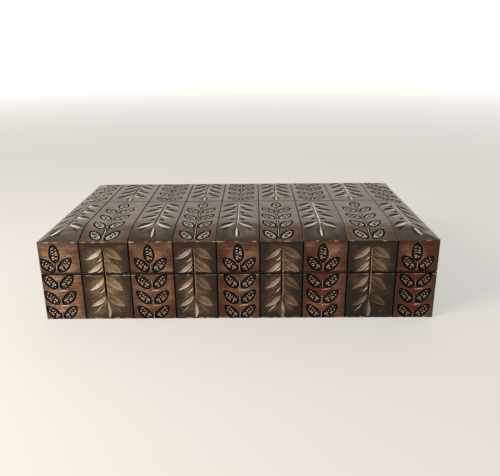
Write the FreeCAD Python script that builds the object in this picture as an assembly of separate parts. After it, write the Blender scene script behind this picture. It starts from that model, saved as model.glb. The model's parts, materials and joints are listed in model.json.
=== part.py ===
import FreeCAD
import Part
import math
import os

# Low wooden keepsake box with a hinged lid, in millimetres.
# Origin: centre of the underside. +X runs along the front, +Y to the back, +Z up.

# Box
box_length = 260.0
box_depth = 156.0
wall_thickness = 9.0
base_height = 33.0
corner_radius = 1.0
seam_chamfer = 0.6

# Lid
lid_gap = 0.2
lid_rail_height = 20.0
panel_edge_height = 1.8
crown_rise = 5.5
front_border = 19.5
side_border = 17.0
crest_radius = 40.0

# Scored lines between the ornament fields
groove_width = 1.0
groove_depth = 0.6
column_shares = (0.104, 0.123, 0.111, 0.108, 0.108, 0.108, 0.111, 0.123, 0.104)
side_column_count = 5

# Sprigs carved in the lid's fields: gouged leaves along a stem, with stamped leaves in the fields between.
# Places along a sprig are shares of its field, from the foot up, and turns are shares of a half turn.
# Where the two rows differ, the front row's places come first.
gouge_length = 12.6
gouge_width = 4.4
gouge_depth = 1.3
gouge_gap = 6.7
gouge_keel_share = 0.2
gouge_turn_share = 0.72
gouge_shares = ((0.261, 0.475, 0.677, 0.848), (0.209, 0.371, 0.542, 0.688, 0.841))
bud_shares = (0.142, 0.103)
bud_turn_share = 1.0
stem_width = 1.0
stem_depth = 0.5
stem_shares = (0.21, 0.32, 0.66, 0.82, 0.95)
stamp_length = 13.0
stamp_width = 5.6
stamp_depth = 0.4
stamp_gap = 5.9
stamp_turn_share = 0.235
stamp_shares = ((0.087, 0.245, 0.433, 0.629), (0.096, 0.276, 0.464, 0.644))
stamp_tip_shares = (0.823, 0.831)
stamp_tip_turn_share = 0.0
shoulder_shares = (0.24, 0.68)

# Bottom
bottom_thickness = 4.0
bottom_lip = 4.0
bottom_clearance = 0.1
brad_radius = 0.6
brad_length = 12.0
brad_tip_length = 1.5
brad_head_radius = 1.1
brad_head_height = 0.5
brad_clearance = 0.05
brad_long_shares = (-0.36, 0.0, 0.36)
brad_short_shares = (-0.25, 0.25)

# Hinges
hinge_inset = 52.0
hinge_length = 25.0
leaf_thickness = 1.0
leaf_margin = 1.5
leaf_clearance = 0.1
knuckle_radius = 1.8
knuckle_gap = 0.2
middle_knuckle_length = 9.0
pin_radius = 0.9
pin_clearance = 0.05
pin_end_chamfer = 0.25

# Hinge screws
screw_spacing = 15.0
screw_length = 9.0
screw_tip_length = 2.5
screw_shank_radius = 0.9
screw_head_radius = 1.7
screw_head_height = 0.85
screw_slot_width = 0.45
screw_slot_depth = 0.3
screw_clearance = 0.05

# How far a cutting tool runs past the face that it cuts
overrun = 1.0

# Directions and levels closer than this count as the same
same = 1e-6

# Levels and places that follow from the sizes above
half_length = box_length / 2
half_depth = box_depth / 2
lid_bottom = base_height + lid_gap
panel_bottom = lid_bottom + lid_rail_height
arris_level = panel_bottom + panel_edge_height
crown_level = arris_level + crown_rise
hinge_axis_y = half_depth + knuckle_radius + knuckle_gap
hinge_axis_z = base_height + lid_gap / 2
bottom_ledge = wall_thickness - bottom_lip
leaf_seat = wall_thickness - leaf_margin
hinge_places = {
    "left": hinge_inset - half_length,
    "right": half_length - hinge_inset,
}

X = FreeCAD.Vector(1, 0, 0)
Y = FreeCAD.Vector(0, 1, 0)
Z = FreeCAD.Vector(0, 0, 1)


def vec(x, y, z):
    return FreeCAD.Vector(x, y, z)


def block(x_range, y_range, z_range):
    """A box between pairs of limits."""
    low = vec(x_range[0], y_range[0], z_range[0])
    high = vec(x_range[1], y_range[1], z_range[1])
    size = high - low
    return Part.makeBox(size.x, size.y, size.z, low)


def prism(points, travel):
    """A flat outline pushed along a vector."""
    return Part.Face(Part.makePolygon(points + points[:1])).extrude(travel)


def spread(half):
    """Limits either side of zero."""
    return (-half, half)


def rounded_outside(z_low, z_high):
    """The plan of the box with its upright corners rounded."""
    solid = block(spread(half_length), spread(half_depth), (z_low, z_high))
    upright = [e for e in solid.Edges if e.tangentAt(e.FirstParameter).isParallel(Z, same)]
    return solid.makeFillet(corner_radius, upright)


def mitred_walls(z_low, z_high):
    """Four boards with mitred ends that close a rectangle."""
    def corner(side_x, side_y, inset):
        return vec(side_x * (half_length - inset), side_y * (half_depth - inset), z_low)

    ends = {
        "front": ((-1, -1), (1, -1)),
        "right": ((1, -1), (1, 1)),
        "back": ((1, 1), (-1, 1)),
        "left": ((-1, 1), (-1, -1)),
    }
    outside = rounded_outside(z_low, z_high)
    rise = Z * (z_high - z_low)
    walls = {}
    for side, (start, stop) in ends.items():
        plan = [corner(*start, 0), corner(*stop, 0)]
        plan += [corner(*stop, wall_thickness), corner(*start, wall_thickness)]
        walls[side] = prism(plan, rise).common(outside)
    return walls


def seam_chamfers(level, direction):
    """Bevels all round the outer edge at a level.

    Direction is 1 where the wood lies above the level and -1 where it lies below.
    """
    reach = seam_chamfer + overrun
    cutters = []
    for turn, half_across, half_along in (
        (0, half_depth, half_length),
        (90, half_length, half_depth),
        (180, half_depth, half_length),
        (270, half_length, half_depth),
    ):
        corner = -half_across
        section = [
            vec(-half_along - overrun, corner - overrun, level + direction * reach),
            vec(-half_along - overrun, corner + reach, level - direction * overrun),
            vec(-half_along - overrun, corner - overrun, level - direction * overrun),
        ]
        cutter = prism(section, X * (box_length + box_depth))
        cutter.rotate(vec(0, 0, 0), Z, turn)
        cutters.append(cutter)
    return cutters


def vee(centre, across, outward, width, depth):
    """The triangle that scores a line: its point lies below the surface, its base stands clear of it."""
    share = (depth + overrun) / depth
    side = across * (width / 2 * share)
    top = centre + outward * overrun
    return [centre - outward * depth, top - side, top + side]


def column_lines():
    """Places along the front of the lines between columns."""
    places = []
    x = -half_length
    for share in column_shares[:-1]:
        x += share * box_length
        places.append(x)
    return places


def side_lines():
    """Places along the ends of the lines between columns."""
    step = box_depth / side_column_count
    return [-half_depth + step * (i + 1) for i in range(side_column_count - 1)]


def upright_grooves(side):
    """Scored lines that run up one side of the box from below the base to above the lid."""
    rise = Z * (arris_level + 2 * overrun)
    across, outward, places = {
        "front": (X, -Y, [vec(x, -half_depth, -overrun) for x in column_lines()]),
        "back": (X, Y, [vec(x, half_depth, -overrun) for x in column_lines()]),
        "left": (Y, -X, [vec(-half_length, y, -overrun) for y in side_lines()]),
        "right": (Y, X, [vec(half_length, y, -overrun) for y in side_lines()]),
    }[side]
    return [prism(vee(place, across, outward, groove_width, groove_depth), rise) for place in places]


def crown_path(half_span, border, along):
    """The lid's rise and fall across one direction: slope, round crest, flat, round crest, slope.

    Returns the path as a wire through the origin's plane and the outward normal at its start.
    """
    slope = math.atan2(crown_rise, border)
    tangent = crest_radius * math.tan(slope / 2)

    def at(distance, level):
        return along * distance + Z * level

    def down_slope(distance):
        crest = half_span - border
        return crest + distance * math.cos(slope), crown_level - distance * math.sin(slope)

    end_run = math.hypot(border, crown_rise) + overrun
    arc_mid_run = crest_radius * math.sin(slope / 2)
    arc_mid_drop = crest_radius * (1 - math.cos(slope / 2))
    flat_end = half_span - border - tangent
    out_s, out_z = down_slope(end_run)
    bend_s, bend_z = down_slope(tangent)
    points = [
        at(-out_s, out_z),
        at(-bend_s, bend_z),
        at(-flat_end - arc_mid_run, crown_level - arc_mid_drop),
        at(-flat_end, crown_level),
        at(flat_end, crown_level),
        at(flat_end + arc_mid_run, crown_level - arc_mid_drop),
        at(bend_s, bend_z),
        at(out_s, out_z),
    ]
    wire = Part.Wire([
        Part.LineSegment(points[0], points[1]).toShape(),
        Part.Arc(points[1], points[2], points[3]).toShape(),
        Part.LineSegment(points[3], points[4]).toShape(),
        Part.Arc(points[4], points[5], points[6]).toShape(),
        Part.LineSegment(points[6], points[7]).toShape(),
    ])
    normal = along * -math.sin(slope) + Z * math.cos(slope)
    return wire, points[0], normal


def crown_groove(half_span, border, along, across, offset):
    """A scored line over the lid that follows its rise and fall."""
    path, start, normal = crown_path(half_span, border, along)
    outline = vee(start, across, normal, groove_width, groove_depth)
    groove = path.makePipeShell([Part.makePolygon(outline + outline[:1])], True, False)
    groove.translate(across * offset)
    return groove


def rectangle(half_x, half_y, level):
    return Part.makePolygon([
        vec(-half_x, -half_y, level),
        vec(half_x, -half_y, level),
        vec(half_x, half_y, level),
        vec(-half_x, half_y, level),
        vec(-half_x, -half_y, level),
    ])


def lid_crown():
    """The panel before scoring: a square edge all round, a sloping border and a flat middle."""
    edge = block(spread(half_length), spread(half_depth), (panel_bottom, arris_level))
    slope = Part.makeLoft([
        rectangle(half_length, half_depth, arris_level),
        rectangle(half_length - side_border, half_depth - front_border, crown_level),
    ], True, True)
    solid = edge.fuse(slope).removeSplitter()
    crest = [e for e in solid.Edges if all(abs(v.Z - crown_level) < same for v in e.Vertexes)]
    return solid.makeFillet(crest_radius, crest).common(rounded_outside(panel_bottom, crown_level + overrun))


def crown_at(inward, border):
    """Height of the lid and the lean of its surface at a distance in from one edge."""
    slope = math.atan2(crown_rise, border)
    tangent = crest_radius * math.tan(slope / 2)
    if inward >= border + tangent:
        return crown_level, 0
    if inward <= border - tangent * math.cos(slope):
        return arris_level + inward * math.tan(slope), slope
    lean = math.asin((border + tangent - inward) / crest_radius)
    return crown_level - crest_radius * (1 - math.cos(lean)), lean


def crown_seat(x, y):
    """A place of the lid in plan, as a point of its surface and the direction out of it."""
    level, lean = crown_at(half_depth - abs(y), front_border)
    outward = Y * math.copysign(1, y)
    end_level, end_lean = crown_at(half_length - abs(x), side_border)
    if end_level < level:
        level, lean = end_level, end_lean
        outward = X * math.copysign(1, x)
    return vec(x, y, level), outward * math.sin(lean) + Z * math.cos(lean)


def cut_frame(x, y, turn_share, side):
    """The middle of a leaf on the lid, and the directions along it, across it and out of the wood.

    Side is 1 for a leaf that turns to the right of its stem and -1 for its mirror image.
    """
    middle, outward = crown_seat(x, y)
    turn = math.pi * turn_share
    heading = X * (side * math.sin(turn)) + Y * math.cos(turn)
    along = (heading - outward * heading.dot(outward)).normalize()
    return middle, along, along.cross(outward) * side, outward


def cut_outline(middle, along, across, length, width):
    """Six corners of a leaf: foot, two shoulders, tip and two shoulders back."""
    foot = middle - along * (length / 2)
    low, high = [foot + along * (length * share) for share in shoulder_shares]
    half = across * (width / 2)
    return [foot, low + half, high + half, foot + along * length, high - half, low - half]


def gouged_leaf(x, y, turn_share, side):
    """A leaf cut with two slanting strokes that meet in a keel."""
    middle, along, across, outward = cut_frame(x, y, turn_share, side)
    corners = cut_outline(middle, along, across, gouge_length, gouge_width)
    sink = across * (gouge_keel_share * gouge_width / 2) - outward * gouge_depth
    low, high = [corners[0] + along * (gouge_length * share) + sink for share in shoulder_shares]
    keel = [low, low, high, high, high, low]
    rim = [corner + (corner - point) * (overrun / gouge_depth) for corner, point in zip(corners, keel)]
    facets = [rim]
    for i, point in enumerate(keel):
        following = (i + 1) % len(rim)
        facet = [point, rim[i], rim[following], keel[following]]
        facets.append(facet if point != keel[following] else facet[:-1])
    shell = Part.Shell([Part.Face(Part.makePolygon(facet + facet[:1])) for facet in facets])
    solid = Part.Solid(shell)
    return solid if solid.Volume > 0 else solid.reversed()


def stamped_leaf(x, y, turn_share, side):
    """A leaf struck flat into the wood."""
    middle, along, across, outward = cut_frame(x, y, turn_share, side)
    corners = cut_outline(middle - outward * stamp_depth, along, across, stamp_length, stamp_width)
    return prism(corners, outward * (stamp_depth + overrun))


def stem(x, places):
    """A scored line that climbs the lid in straight strokes from place to place."""
    strokes = []
    for start, stop in zip(places, places[1:]):
        (low, outward), (high, _) = crown_seat(x, start), crown_seat(x, stop)
        square = (high - low).cross(X).normalize()
        square = square if square.dot(outward) > 0 else -square
        strokes.append(prism(vee(low, X, square, stem_width, stem_depth), high - low))
    return strokes


def gouged_sprig(x, foot, row):
    """A stem with leaves that droop to both sides and a bud at its foot."""
    cuts = stem(x, [foot + share * half_depth for share in stem_shares])
    cuts.append(gouged_leaf(x, foot + bud_shares[row] * half_depth, bud_turn_share, 1))
    for share in gouge_shares[row]:
        for side in (-1, 1):
            place = foot + share * half_depth
            cuts.append(gouged_leaf(x + side * gouge_gap, place, gouge_turn_share, side))
    return cuts


def stamped_sprig(x, foot, row):
    """Leaves that rise to both sides and one at the tip."""
    cuts = [stamped_leaf(x, foot + stamp_tip_shares[row] * half_depth, stamp_tip_turn_share, 1)]
    for share in stamp_shares[row]:
        for side in (-1, 1):
            place = foot + share * half_depth
            cuts.append(stamped_leaf(x + side * stamp_gap, place, stamp_turn_share, side))
    return cuts


def lid_sprigs():
    """Both sprigs in turn over the lid's two rows of fields."""
    limits = [-half_length] + column_lines() + [half_length]
    sprigs = (gouged_sprig, stamped_sprig)
    cuts = []
    for row, foot in enumerate((-half_depth, 0)):
        for column, (left, right) in enumerate(zip(limits, limits[1:])):
            carve = sprigs[(row + column) % len(sprigs)]
            cuts.extend(carve((left + right) / 2, foot, row))
    return cuts


def lid_panel():
    panel = lid_crown()
    lines = [crown_groove(half_depth, front_border, Y, X, x) for x in column_lines()]
    lines.append(crown_groove(half_length, side_border, X, Y, 0))
    for side in ("front", "back", "left", "right"):
        lines.extend(upright_grooves(side))
    return panel.cut(lines + lid_sprigs())


def bottom_recess(clearance):
    """The space in the underside that the bottom panel fills, less a clearance all round."""
    edge = bottom_lip + clearance
    return block(spread(half_length - edge), spread(half_depth - edge), (0, bottom_thickness))


def brad_places():
    """Where brads go up through the bottom's edge into the walls."""
    line_x = half_length - wall_thickness + bottom_ledge / 2
    line_y = half_depth - wall_thickness + bottom_ledge / 2
    places = [vec(share * box_length, side * line_y, 0) for share in brad_long_shares for side in (-1, 1)]
    places += [vec(side * line_x, share * box_depth, 0) for share in brad_short_shares for side in (-1, 1)]
    return places


def brad(place, clearance):
    """A small nail with a flat head, point up."""
    head = Part.makeCylinder(brad_head_radius + clearance, brad_head_height, place)
    shank_length = brad_length - brad_tip_length
    shank = Part.makeCylinder(brad_radius + clearance, shank_length, place)
    tip = Part.makeCone(brad_radius + clearance, 0, brad_tip_length, place + Z * shank_length)
    return head.fuse([shank, tip]).removeSplitter()


def screw_places(hinge_x):
    """The axes of one leaf's screws, at the level of the hinge axis."""
    y = half_depth - wall_thickness / 2
    return [vec(hinge_x + side * screw_spacing / 2, y, hinge_axis_z) for side in (-1, 1)]


def screw(axis_point, direction, clearance):
    """A countersunk wood screw, flush with the leaf's inner face, that points along direction."""
    top = axis_point + direction * (lid_gap / 2)
    head_radius = screw_head_radius + clearance
    shank_radius = screw_shank_radius + clearance
    head = Part.makeCone(head_radius, shank_radius, screw_head_height, top, direction)
    shank_length = screw_length - screw_tip_length
    shank = Part.makeCylinder(shank_radius, shank_length, top, direction)
    tip = Part.makeCone(shank_radius, 0, screw_tip_length, top + direction * shank_length, direction)
    return head.fuse([shank, tip]).removeSplitter()


def slotted_screw(axis_point, direction):
    """The screw itself, with a driver slot across its head."""
    body = screw(axis_point, direction, 0)
    top = axis_point + direction * (lid_gap / 2)
    half_slot = screw_slot_width / 2
    across = screw_head_radius + overrun
    levels = sorted((top.z - direction.z * overrun, top.z + direction.z * screw_slot_depth))
    return body.cut(block((top.x - across, top.x + across), (top.y - half_slot, top.y + half_slot), levels))


def leaf_mortise(hinge_x, z_range):
    """The shallow seat for one leaf, open at the back."""
    half = hinge_length / 2 + leaf_clearance
    y_low = half_depth - leaf_seat - leaf_clearance
    return block((hinge_x - half, hinge_x + half), (y_low, half_depth + overrun), z_range)


def knuckle(x_low, x_high, radius):
    return Part.makeCylinder(radius, x_high - x_low, vec(x_low, hinge_axis_y, hinge_axis_z), X)


def hinge_leaf(hinge_x, direction):
    """One leaf with its knuckles.

    Direction is -1 for the base's leaf, which has the outer pair, and 1 for the lid's.
    """
    inner_face = hinge_axis_z + direction * lid_gap / 2
    plate_levels = sorted((inner_face, inner_face + direction * leaf_thickness))
    ends = (hinge_x - hinge_length / 2, hinge_x + hinge_length / 2)
    plate = block(ends, (half_depth - leaf_seat, hinge_axis_y), plate_levels)
    half_middle = middle_knuckle_length / 2
    middle = (hinge_x - half_middle, hinge_x + half_middle)
    outer = [(ends[0], middle[0] - knuckle_gap), (middle[1] + knuckle_gap, ends[1])]
    own, other = (outer, [middle]) if direction < 0 else ([middle], outer)
    clear_y = (hinge_axis_y - knuckle_radius - knuckle_gap, hinge_axis_y + knuckle_radius)
    clear_z = spread(crown_level)
    for low, high in other:
        room = block((low - knuckle_gap, high + knuckle_gap), clear_y, clear_z)
        plate = plate.cut(room)
    solid = plate.fuse([knuckle(low, high, knuckle_radius) for low, high in own])
    solid = solid.cut(knuckle(ends[0] - overrun, ends[1] + overrun, pin_radius + pin_clearance))
    holes = [screw(place, Z * direction, screw_clearance) for place in screw_places(hinge_x)]
    return solid.cut(holes).removeSplitter()


def hinge_pin(hinge_x):
    pin = knuckle(hinge_x - hinge_length / 2, hinge_x + hinge_length / 2, pin_radius)
    rims = [e for e in pin.Edges if e.Closed]
    return pin.makeChamfer(pin_end_chamfer, rims)


def base_walls():
    walls = mitred_walls(0, base_height)
    bevels = seam_chamfers(base_height, -1)
    recess = bottom_recess(0)
    nail_holes = [brad(place, brad_clearance) for place in brad_places()]
    for side in walls:
        walls[side] = walls[side].cut(bevels + upright_grooves(side) + [recess] + nail_holes)
    for hinge_x in hinge_places.values():
        seat = leaf_mortise(hinge_x, (base_height - leaf_thickness, base_height + overrun))
        holes = [screw(place, -Z, screw_clearance) for place in screw_places(hinge_x)]
        walls["back"] = walls["back"].cut([seat] + holes)
    return walls


def lid_rails():
    rails = mitred_walls(lid_bottom, panel_bottom)
    bevels = seam_chamfers(lid_bottom, 1)
    for side in rails:
        rails[side] = rails[side].cut(bevels + upright_grooves(side))
    for hinge_x in hinge_places.values():
        seat = leaf_mortise(hinge_x, (lid_bottom - overrun, lid_bottom + leaf_thickness))
        holes = [screw(place, Z, screw_clearance) for place in screw_places(hinge_x)]
        rails["back"] = rails["back"].cut([seat] + holes)
    return rails


def bottom_panel():
    return bottom_recess(bottom_clearance).cut([brad(place, brad_clearance) for place in brad_places()])


def all_pieces():
    pieces = {f"base_{side}_wall": wall for side, wall in base_walls().items()}
    pieces["bottom_panel"] = bottom_panel()
    pieces["bottom_brads"] = Part.makeCompound([brad(place, 0) for place in brad_places()])
    pieces.update({f"lid_{side}_rail": rail for side, rail in lid_rails().items()})
    pieces["lid_panel"] = lid_panel()
    for name, hinge_x in hinge_places.items():
        pieces[f"{name}_hinge_base_leaf"] = hinge_leaf(hinge_x, -1)
        pieces[f"{name}_hinge_lid_leaf"] = hinge_leaf(hinge_x, 1)
        pieces[f"{name}_hinge_pin"] = hinge_pin(hinge_x)
        for part, direction in (("base", -Z), ("lid", Z)):
            screws = [slotted_screw(place, direction) for place in screw_places(hinge_x)]
            pieces[f"{name}_hinge_{part}_screws"] = Part.makeCompound(screws)
    return pieces


def main():
    os.makedirs("parts", exist_ok=True)
    for name, shape in all_pieces().items():
        shape.exportStep(f"parts/{name}.step")
        print(f"{name}: {len(shape.Solids)} solid, valid {shape.isValid()}, {shape.Volume:.1f} mm3")


main()
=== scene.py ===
"""Looks of the carved keepsake box: carving, finishes, studio and camera."""

import json
import logging
import math
import random
from dataclasses import dataclass, field, replace
from enum import Enum
from typing import Callable, Iterable, Sequence, Union

import bmesh
import bpy
from mathutils import Matrix, Vector


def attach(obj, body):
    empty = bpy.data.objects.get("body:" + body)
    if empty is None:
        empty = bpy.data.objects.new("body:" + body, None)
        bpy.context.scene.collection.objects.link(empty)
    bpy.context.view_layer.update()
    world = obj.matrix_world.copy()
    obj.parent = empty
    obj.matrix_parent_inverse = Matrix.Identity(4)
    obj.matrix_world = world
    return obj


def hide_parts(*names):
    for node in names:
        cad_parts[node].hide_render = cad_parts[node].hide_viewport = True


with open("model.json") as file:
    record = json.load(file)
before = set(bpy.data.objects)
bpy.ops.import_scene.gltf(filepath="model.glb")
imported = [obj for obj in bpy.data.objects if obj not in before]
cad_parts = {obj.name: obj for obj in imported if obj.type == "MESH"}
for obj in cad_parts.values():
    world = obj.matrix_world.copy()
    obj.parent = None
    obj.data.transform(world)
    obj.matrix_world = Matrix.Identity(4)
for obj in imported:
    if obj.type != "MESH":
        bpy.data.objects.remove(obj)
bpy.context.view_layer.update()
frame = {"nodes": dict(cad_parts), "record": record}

log = logging.getLogger("keepsake_box")

Socket = bpy.types.NodeSocket
Value = Union[Socket, float, Sequence[float]]
Colour = tuple[float, float, float, float]
Shade = tuple[int, int, int]
Span = tuple[float, float]


def mm(size: float) -> float:
    """Millimetres in metres."""
    return size * 0.001


# Points closer than WELD are merged, and points closer than NEAR count as one place.
WELD = mm(0.001)
NEAR = mm(0.01)
# Faces that meet at less than this angle are one flat face.
FLATNESS = math.radians(0.3)
# Rows of a sheet of size 1 are found within this distance.
ROW_NEAR = 1e-4


def tint(red: int, green: int, blue: int) -> Colour:
    """A display colour of 0 to 255 as the linear colour that shaders use.

    Args:
        red: Display red.
        green: Display green.
        blue: Display blue.

    Returns:
        Linear red, green, blue and an alpha of 1.
    """
    linear = [((c / 255 + 0.055) / 1.055) ** 2.4 for c in (red, green, blue)]
    return (linear[0], linear[1], linear[2], 1.0)


class NodeBench:
    """Short calls for laying out one node tree."""

    def __init__(self, tree: bpy.types.NodeTree) -> None:
        """Takes the tree to work on."""
        self.tree = tree

    def add(self, kind: str, **settings: object) -> bpy.types.Node:
        """Adds a node.

        Args:
            kind: The node's type name, without the word ShaderNode in front.
            settings: Properties to set on it.

        Returns:
            The new node.
        """
        name = kind if kind.startswith("Node") else f"ShaderNode{kind}"
        node = self.tree.nodes.new(name)
        for key, value in settings.items():
            setattr(node, key, value)
        return node

    def feed(self, target: Socket, value: Value) -> None:
        """Links a socket to an input, or sets the input's own value.

        Args:
            target: The input.
            value: A socket to link, or a plain value.
        """
        if isinstance(value, bpy.types.NodeSocket):
            self.tree.links.new(value, target)
        else:
            target.default_value = value

    def math(self, operation: str, first: Value, second: Value = 0.0, clamp: bool = False) -> Socket:
        """One sum.

        Args:
            operation: The name of the sum.
            first: Its first term.
            second: Its second term, where it has one.
            clamp: Whether the result stays within 0 and 1.

        Returns:
            The result's socket.
        """
        node = self.add("Math", operation=operation, use_clamp=clamp)
        self.feed(node.inputs[0], first)
        self.feed(node.inputs[1], second)
        return node.outputs[0]

    def fade(self, value: Value, low: float, high: float, start: float = 0.0, stop: float = 1.0) -> Socket:
        """Eases a value from one span into another.

        Args:
            value: What is eased.
            low: The value that gives start.
            high: The value that gives stop.
            start: The result at low.
            stop: The result at high.

        Returns:
            The result's socket.
        """
        node = self.add("MapRange", interpolation_type="SMOOTHSTEP")
        for socket, amount in zip(node.inputs[:5], (value, low, high, start, stop)):
            self.feed(socket, amount)
        return node.outputs[0]

    def blend(self, share: Value, first: Value, second: Value) -> Socket:
        """Mixes two colours.

        Args:
            share: How much of the second shows.
            first: The colour at a share of 0.
            second: The colour at a share of 1.

        Returns:
            The mixed colour's socket.
        """
        node = self.add("Mix", data_type="RGBA")
        self.feed(node.inputs[0], share)
        self.feed(node.inputs[6], first)
        self.feed(node.inputs[7], second)
        return node.outputs[2]

    def noise(self, vector: Value, scale: float, detail: float = 2.0, seed: Value = 0.0) -> Socket:
        """A cloudy value of 0 to 1.

        Args:
            vector: Where it is read.
            scale: Clouds to a unit of the vector.
            detail: How many finer layers it has.
            seed: Which of many such clouds it is.

        Returns:
            The value's socket.
        """
        node = self.add("TexNoise", noise_dimensions="4D")
        self.feed(node.inputs["Vector"], vector)
        self.feed(node.inputs["W"], seed)
        node.inputs["Scale"].default_value = scale
        node.inputs["Detail"].default_value = detail
        return node.outputs["Fac"]

    def combine(self, x: Value, y: Value, z: Value) -> Socket:
        """Three values as one vector.

        Args:
            x: The first value.
            y: The second value.
            z: The third value.

        Returns:
            The vector's socket.
        """
        node = self.add("CombineXYZ")
        for socket, value in zip(node.inputs, (x, y, z)):
            self.feed(socket, value)
        return node.outputs[0]

    def split(self, vector: Socket) -> list[Socket]:
        """The three values of a vector.

        Args:
            vector: The vector's socket.

        Returns:
            The sockets of x, y and z.
        """
        node = self.add("SeparateXYZ")
        self.feed(node.inputs[0], vector)
        return list(node.outputs)

    def mark(self, name: str) -> Socket:
        """A value that the mesh carries under a name."""
        return self.add("Attribute", attribute_name=name).outputs["Fac"]

    def emboss(self, shader: bpy.types.Node, height: Socket, relief: float, strength: float) -> None:
        """Gives a shader a fine relief.

        Args:
            shader: The shader.
            height: The relief's shape.
            relief: How deep it looks.
            strength: How much of it shows.
        """
        bump = self.add("Bump")
        bump.inputs["Distance"].default_value = relief
        bump.inputs["Strength"].default_value = strength
        self.feed(bump.inputs["Height"], height)
        self.feed(shader.inputs["Normal"], bump.outputs["Normal"])


@dataclass(frozen=True)
class Clouds:
    """Cloudy noise: clouds to a unit, finer layers in it, and the span of it that counts as 0 to 1."""

    scale: float
    detail: float
    low: float = 0.0
    high: float = 1.0

    def raw(self, bench: NodeBench, place: Value, seed: Value = 0.0) -> Socket:
        """The noise itself at a place."""
        return bench.noise(place, self.scale, self.detail, seed)

    def shown(self, bench: NodeBench, raw: Socket) -> Socket:
        """The noise eased over its span."""
        return bench.fade(raw, self.low, self.high)


class Effect(Enum):
    """Effects that several finishes share, each built once as a node group."""

    FIGURE = "wood_figure"
    WEAR_AND_SEAM_SHADE = "handling_wear"
    BORDER = "field_border"

    def group(self) -> bpy.types.ShaderNodeTree:
        """The effect's node group.

        Returns:
            The group, built on first use.
        """
        found = bpy.data.node_groups.get(self.value)
        if found is not None:
            return found
        tree = bpy.data.node_groups.new(self.value, "ShaderNodeTree")
        builders = {Effect.FIGURE: _build_figure, Effect.WEAR_AND_SEAM_SHADE: _build_wear_and_seam_shade, Effect.BORDER: _build_border}
        builders[self](tree)
        return tree


def _sockets(tree: bpy.types.ShaderNodeTree, inputs: dict[str, float], outputs: Sequence[str]) -> NodeBench:
    """Gives a group its named values.

    Args:
        tree: The group.
        inputs: Names and starting values of what goes in.
        outputs: Names of what comes out.

    Returns:
        A bench for the group.
    """
    for name, value in inputs.items():
        tree.interface.new_socket(name, in_out="INPUT", socket_type="NodeSocketFloat").default_value = value
    for name in outputs:
        tree.interface.new_socket(name, in_out="OUTPUT", socket_type="NodeSocketFloat")
    return NodeBench(tree)


@dataclass(frozen=True)
class FigureSizes:
    """Sizes of the wood's grain and of the clouds in its stain."""

    figure_grain: Span = (mm(70), mm(5))
    streak_grain: Span = (mm(22), mm(0.75))
    figure: Clouds = Clouds(1.0, 3.0, 0.3, 0.7)
    streak: Clouds = Clouds(1.0, 2.0, 0.3, 0.72)
    blotch: Clouds = Clouds(62.0, 3.0, 0.28, 0.72)
    mottle: Clouds = Clouds(230.0, 3.0, 0.38, 0.66)
    speck: Clouds = Clouds(520.0, 3.0, 0.5, 0.72)
    sway: Clouds = Clouds(24.0, 2.0)
    sway_reach: float = mm(6)
    figure_height: float = 0.5


@dataclass(frozen=True)
class WearAndSeamShadeSizes:
    """Sizes of the rubbed wood along the outer edges and of the painted shade along the seam."""

    reach: float = mm(0.5)
    foot: float = mm(0.5)
    under_seam: float = mm(1.2)
    rarity: tuple[float, float, float] = (1.0, 1.6, 1.3)
    shyness: float = mm(0.12)
    hip_end: float = 10.0
    patches: Clouds = Clouds(240.0, 4.0)
    bareness: float = 0.48
    raggedness: float = 7.0
    fade: Span = (0.25, 1.1)
    grime_stray: float = mm(1.2)
    grime_reach: Span = (mm(0.8), mm(1.4))


@dataclass(frozen=True)
class BorderSizes:
    """Sizes of the darkening towards the border of an ornament field."""

    spread: float = 0.5
    wide: float = 2.0
    tall: float = 4.0
    clouds: Clouds = Clouds(95.0, 3.0)
    stray: float = 1.1
    fade: Span = (0.05, 1.1)


def _build_figure(tree: bpy.types.ShaderNodeTree) -> None:
    """Wood grain that runs along the board: broad figure, fine streaks, stain clouds and the grain's height.

    Args:
        tree: The empty group.
    """
    sizes = FigureSizes()
    names = ("Figure", "Streak", "Blotch", "Mottle", "Speck", "Height")
    bench = _sockets(tree, {"Seed": 0.0, "Crosswise": 0.0}, names)
    given = bench.add("NodeGroupInput")
    result = bench.add("NodeGroupOutput")
    seed = given.outputs["Seed"]
    x, y, z = bench.split(bench.add("TexCoord").outputs["Object"])
    step = bench.math("MULTIPLY", bench.math("SUBTRACT", y, x), given.outputs["Crosswise"])
    along = bench.math("ADD", x, step)
    across = bench.math("SUBTRACT", y, step)
    place = bench.combine(along, across, z)
    sway = bench.math("MULTIPLY", sizes.sway.raw(bench, place, seed), sizes.sway_reach)
    lift = bench.math("ADD", z, sway)
    slide = bench.math("ADD", across, sway)

    def stretched(length: float, thickness: float) -> Socket:
        """Board coordinates drawn out along the grain.

        Args:
            length: The length of a mark in the grain.
            thickness: Its thickness.

        Returns:
            The coordinates' socket.
        """
        return bench.combine(
            bench.math("MULTIPLY", along, 1 / length),
            bench.math("MULTIPLY", slide, 1 / thickness),
            bench.math("MULTIPLY", lift, 1 / thickness),
        )

    layers = {
        "Figure": (sizes.figure, stretched(*sizes.figure_grain)),
        "Streak": (sizes.streak, stretched(*sizes.streak_grain)),
        "Blotch": (sizes.blotch, bench.combine(along, slide, lift)),
        "Mottle": (sizes.mottle, place),
        "Speck": (sizes.speck, place),
    }
    raw = {}
    for name, (clouds, where) in layers.items():
        raw[name] = clouds.raw(bench, where, seed)
        bench.feed(result.inputs[name], clouds.shown(bench, raw[name]))
    height = bench.math("MULTIPLY", raw["Figure"], sizes.figure_height)
    bench.feed(result.inputs["Height"], bench.math("ADD", raw["Streak"], height))


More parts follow.
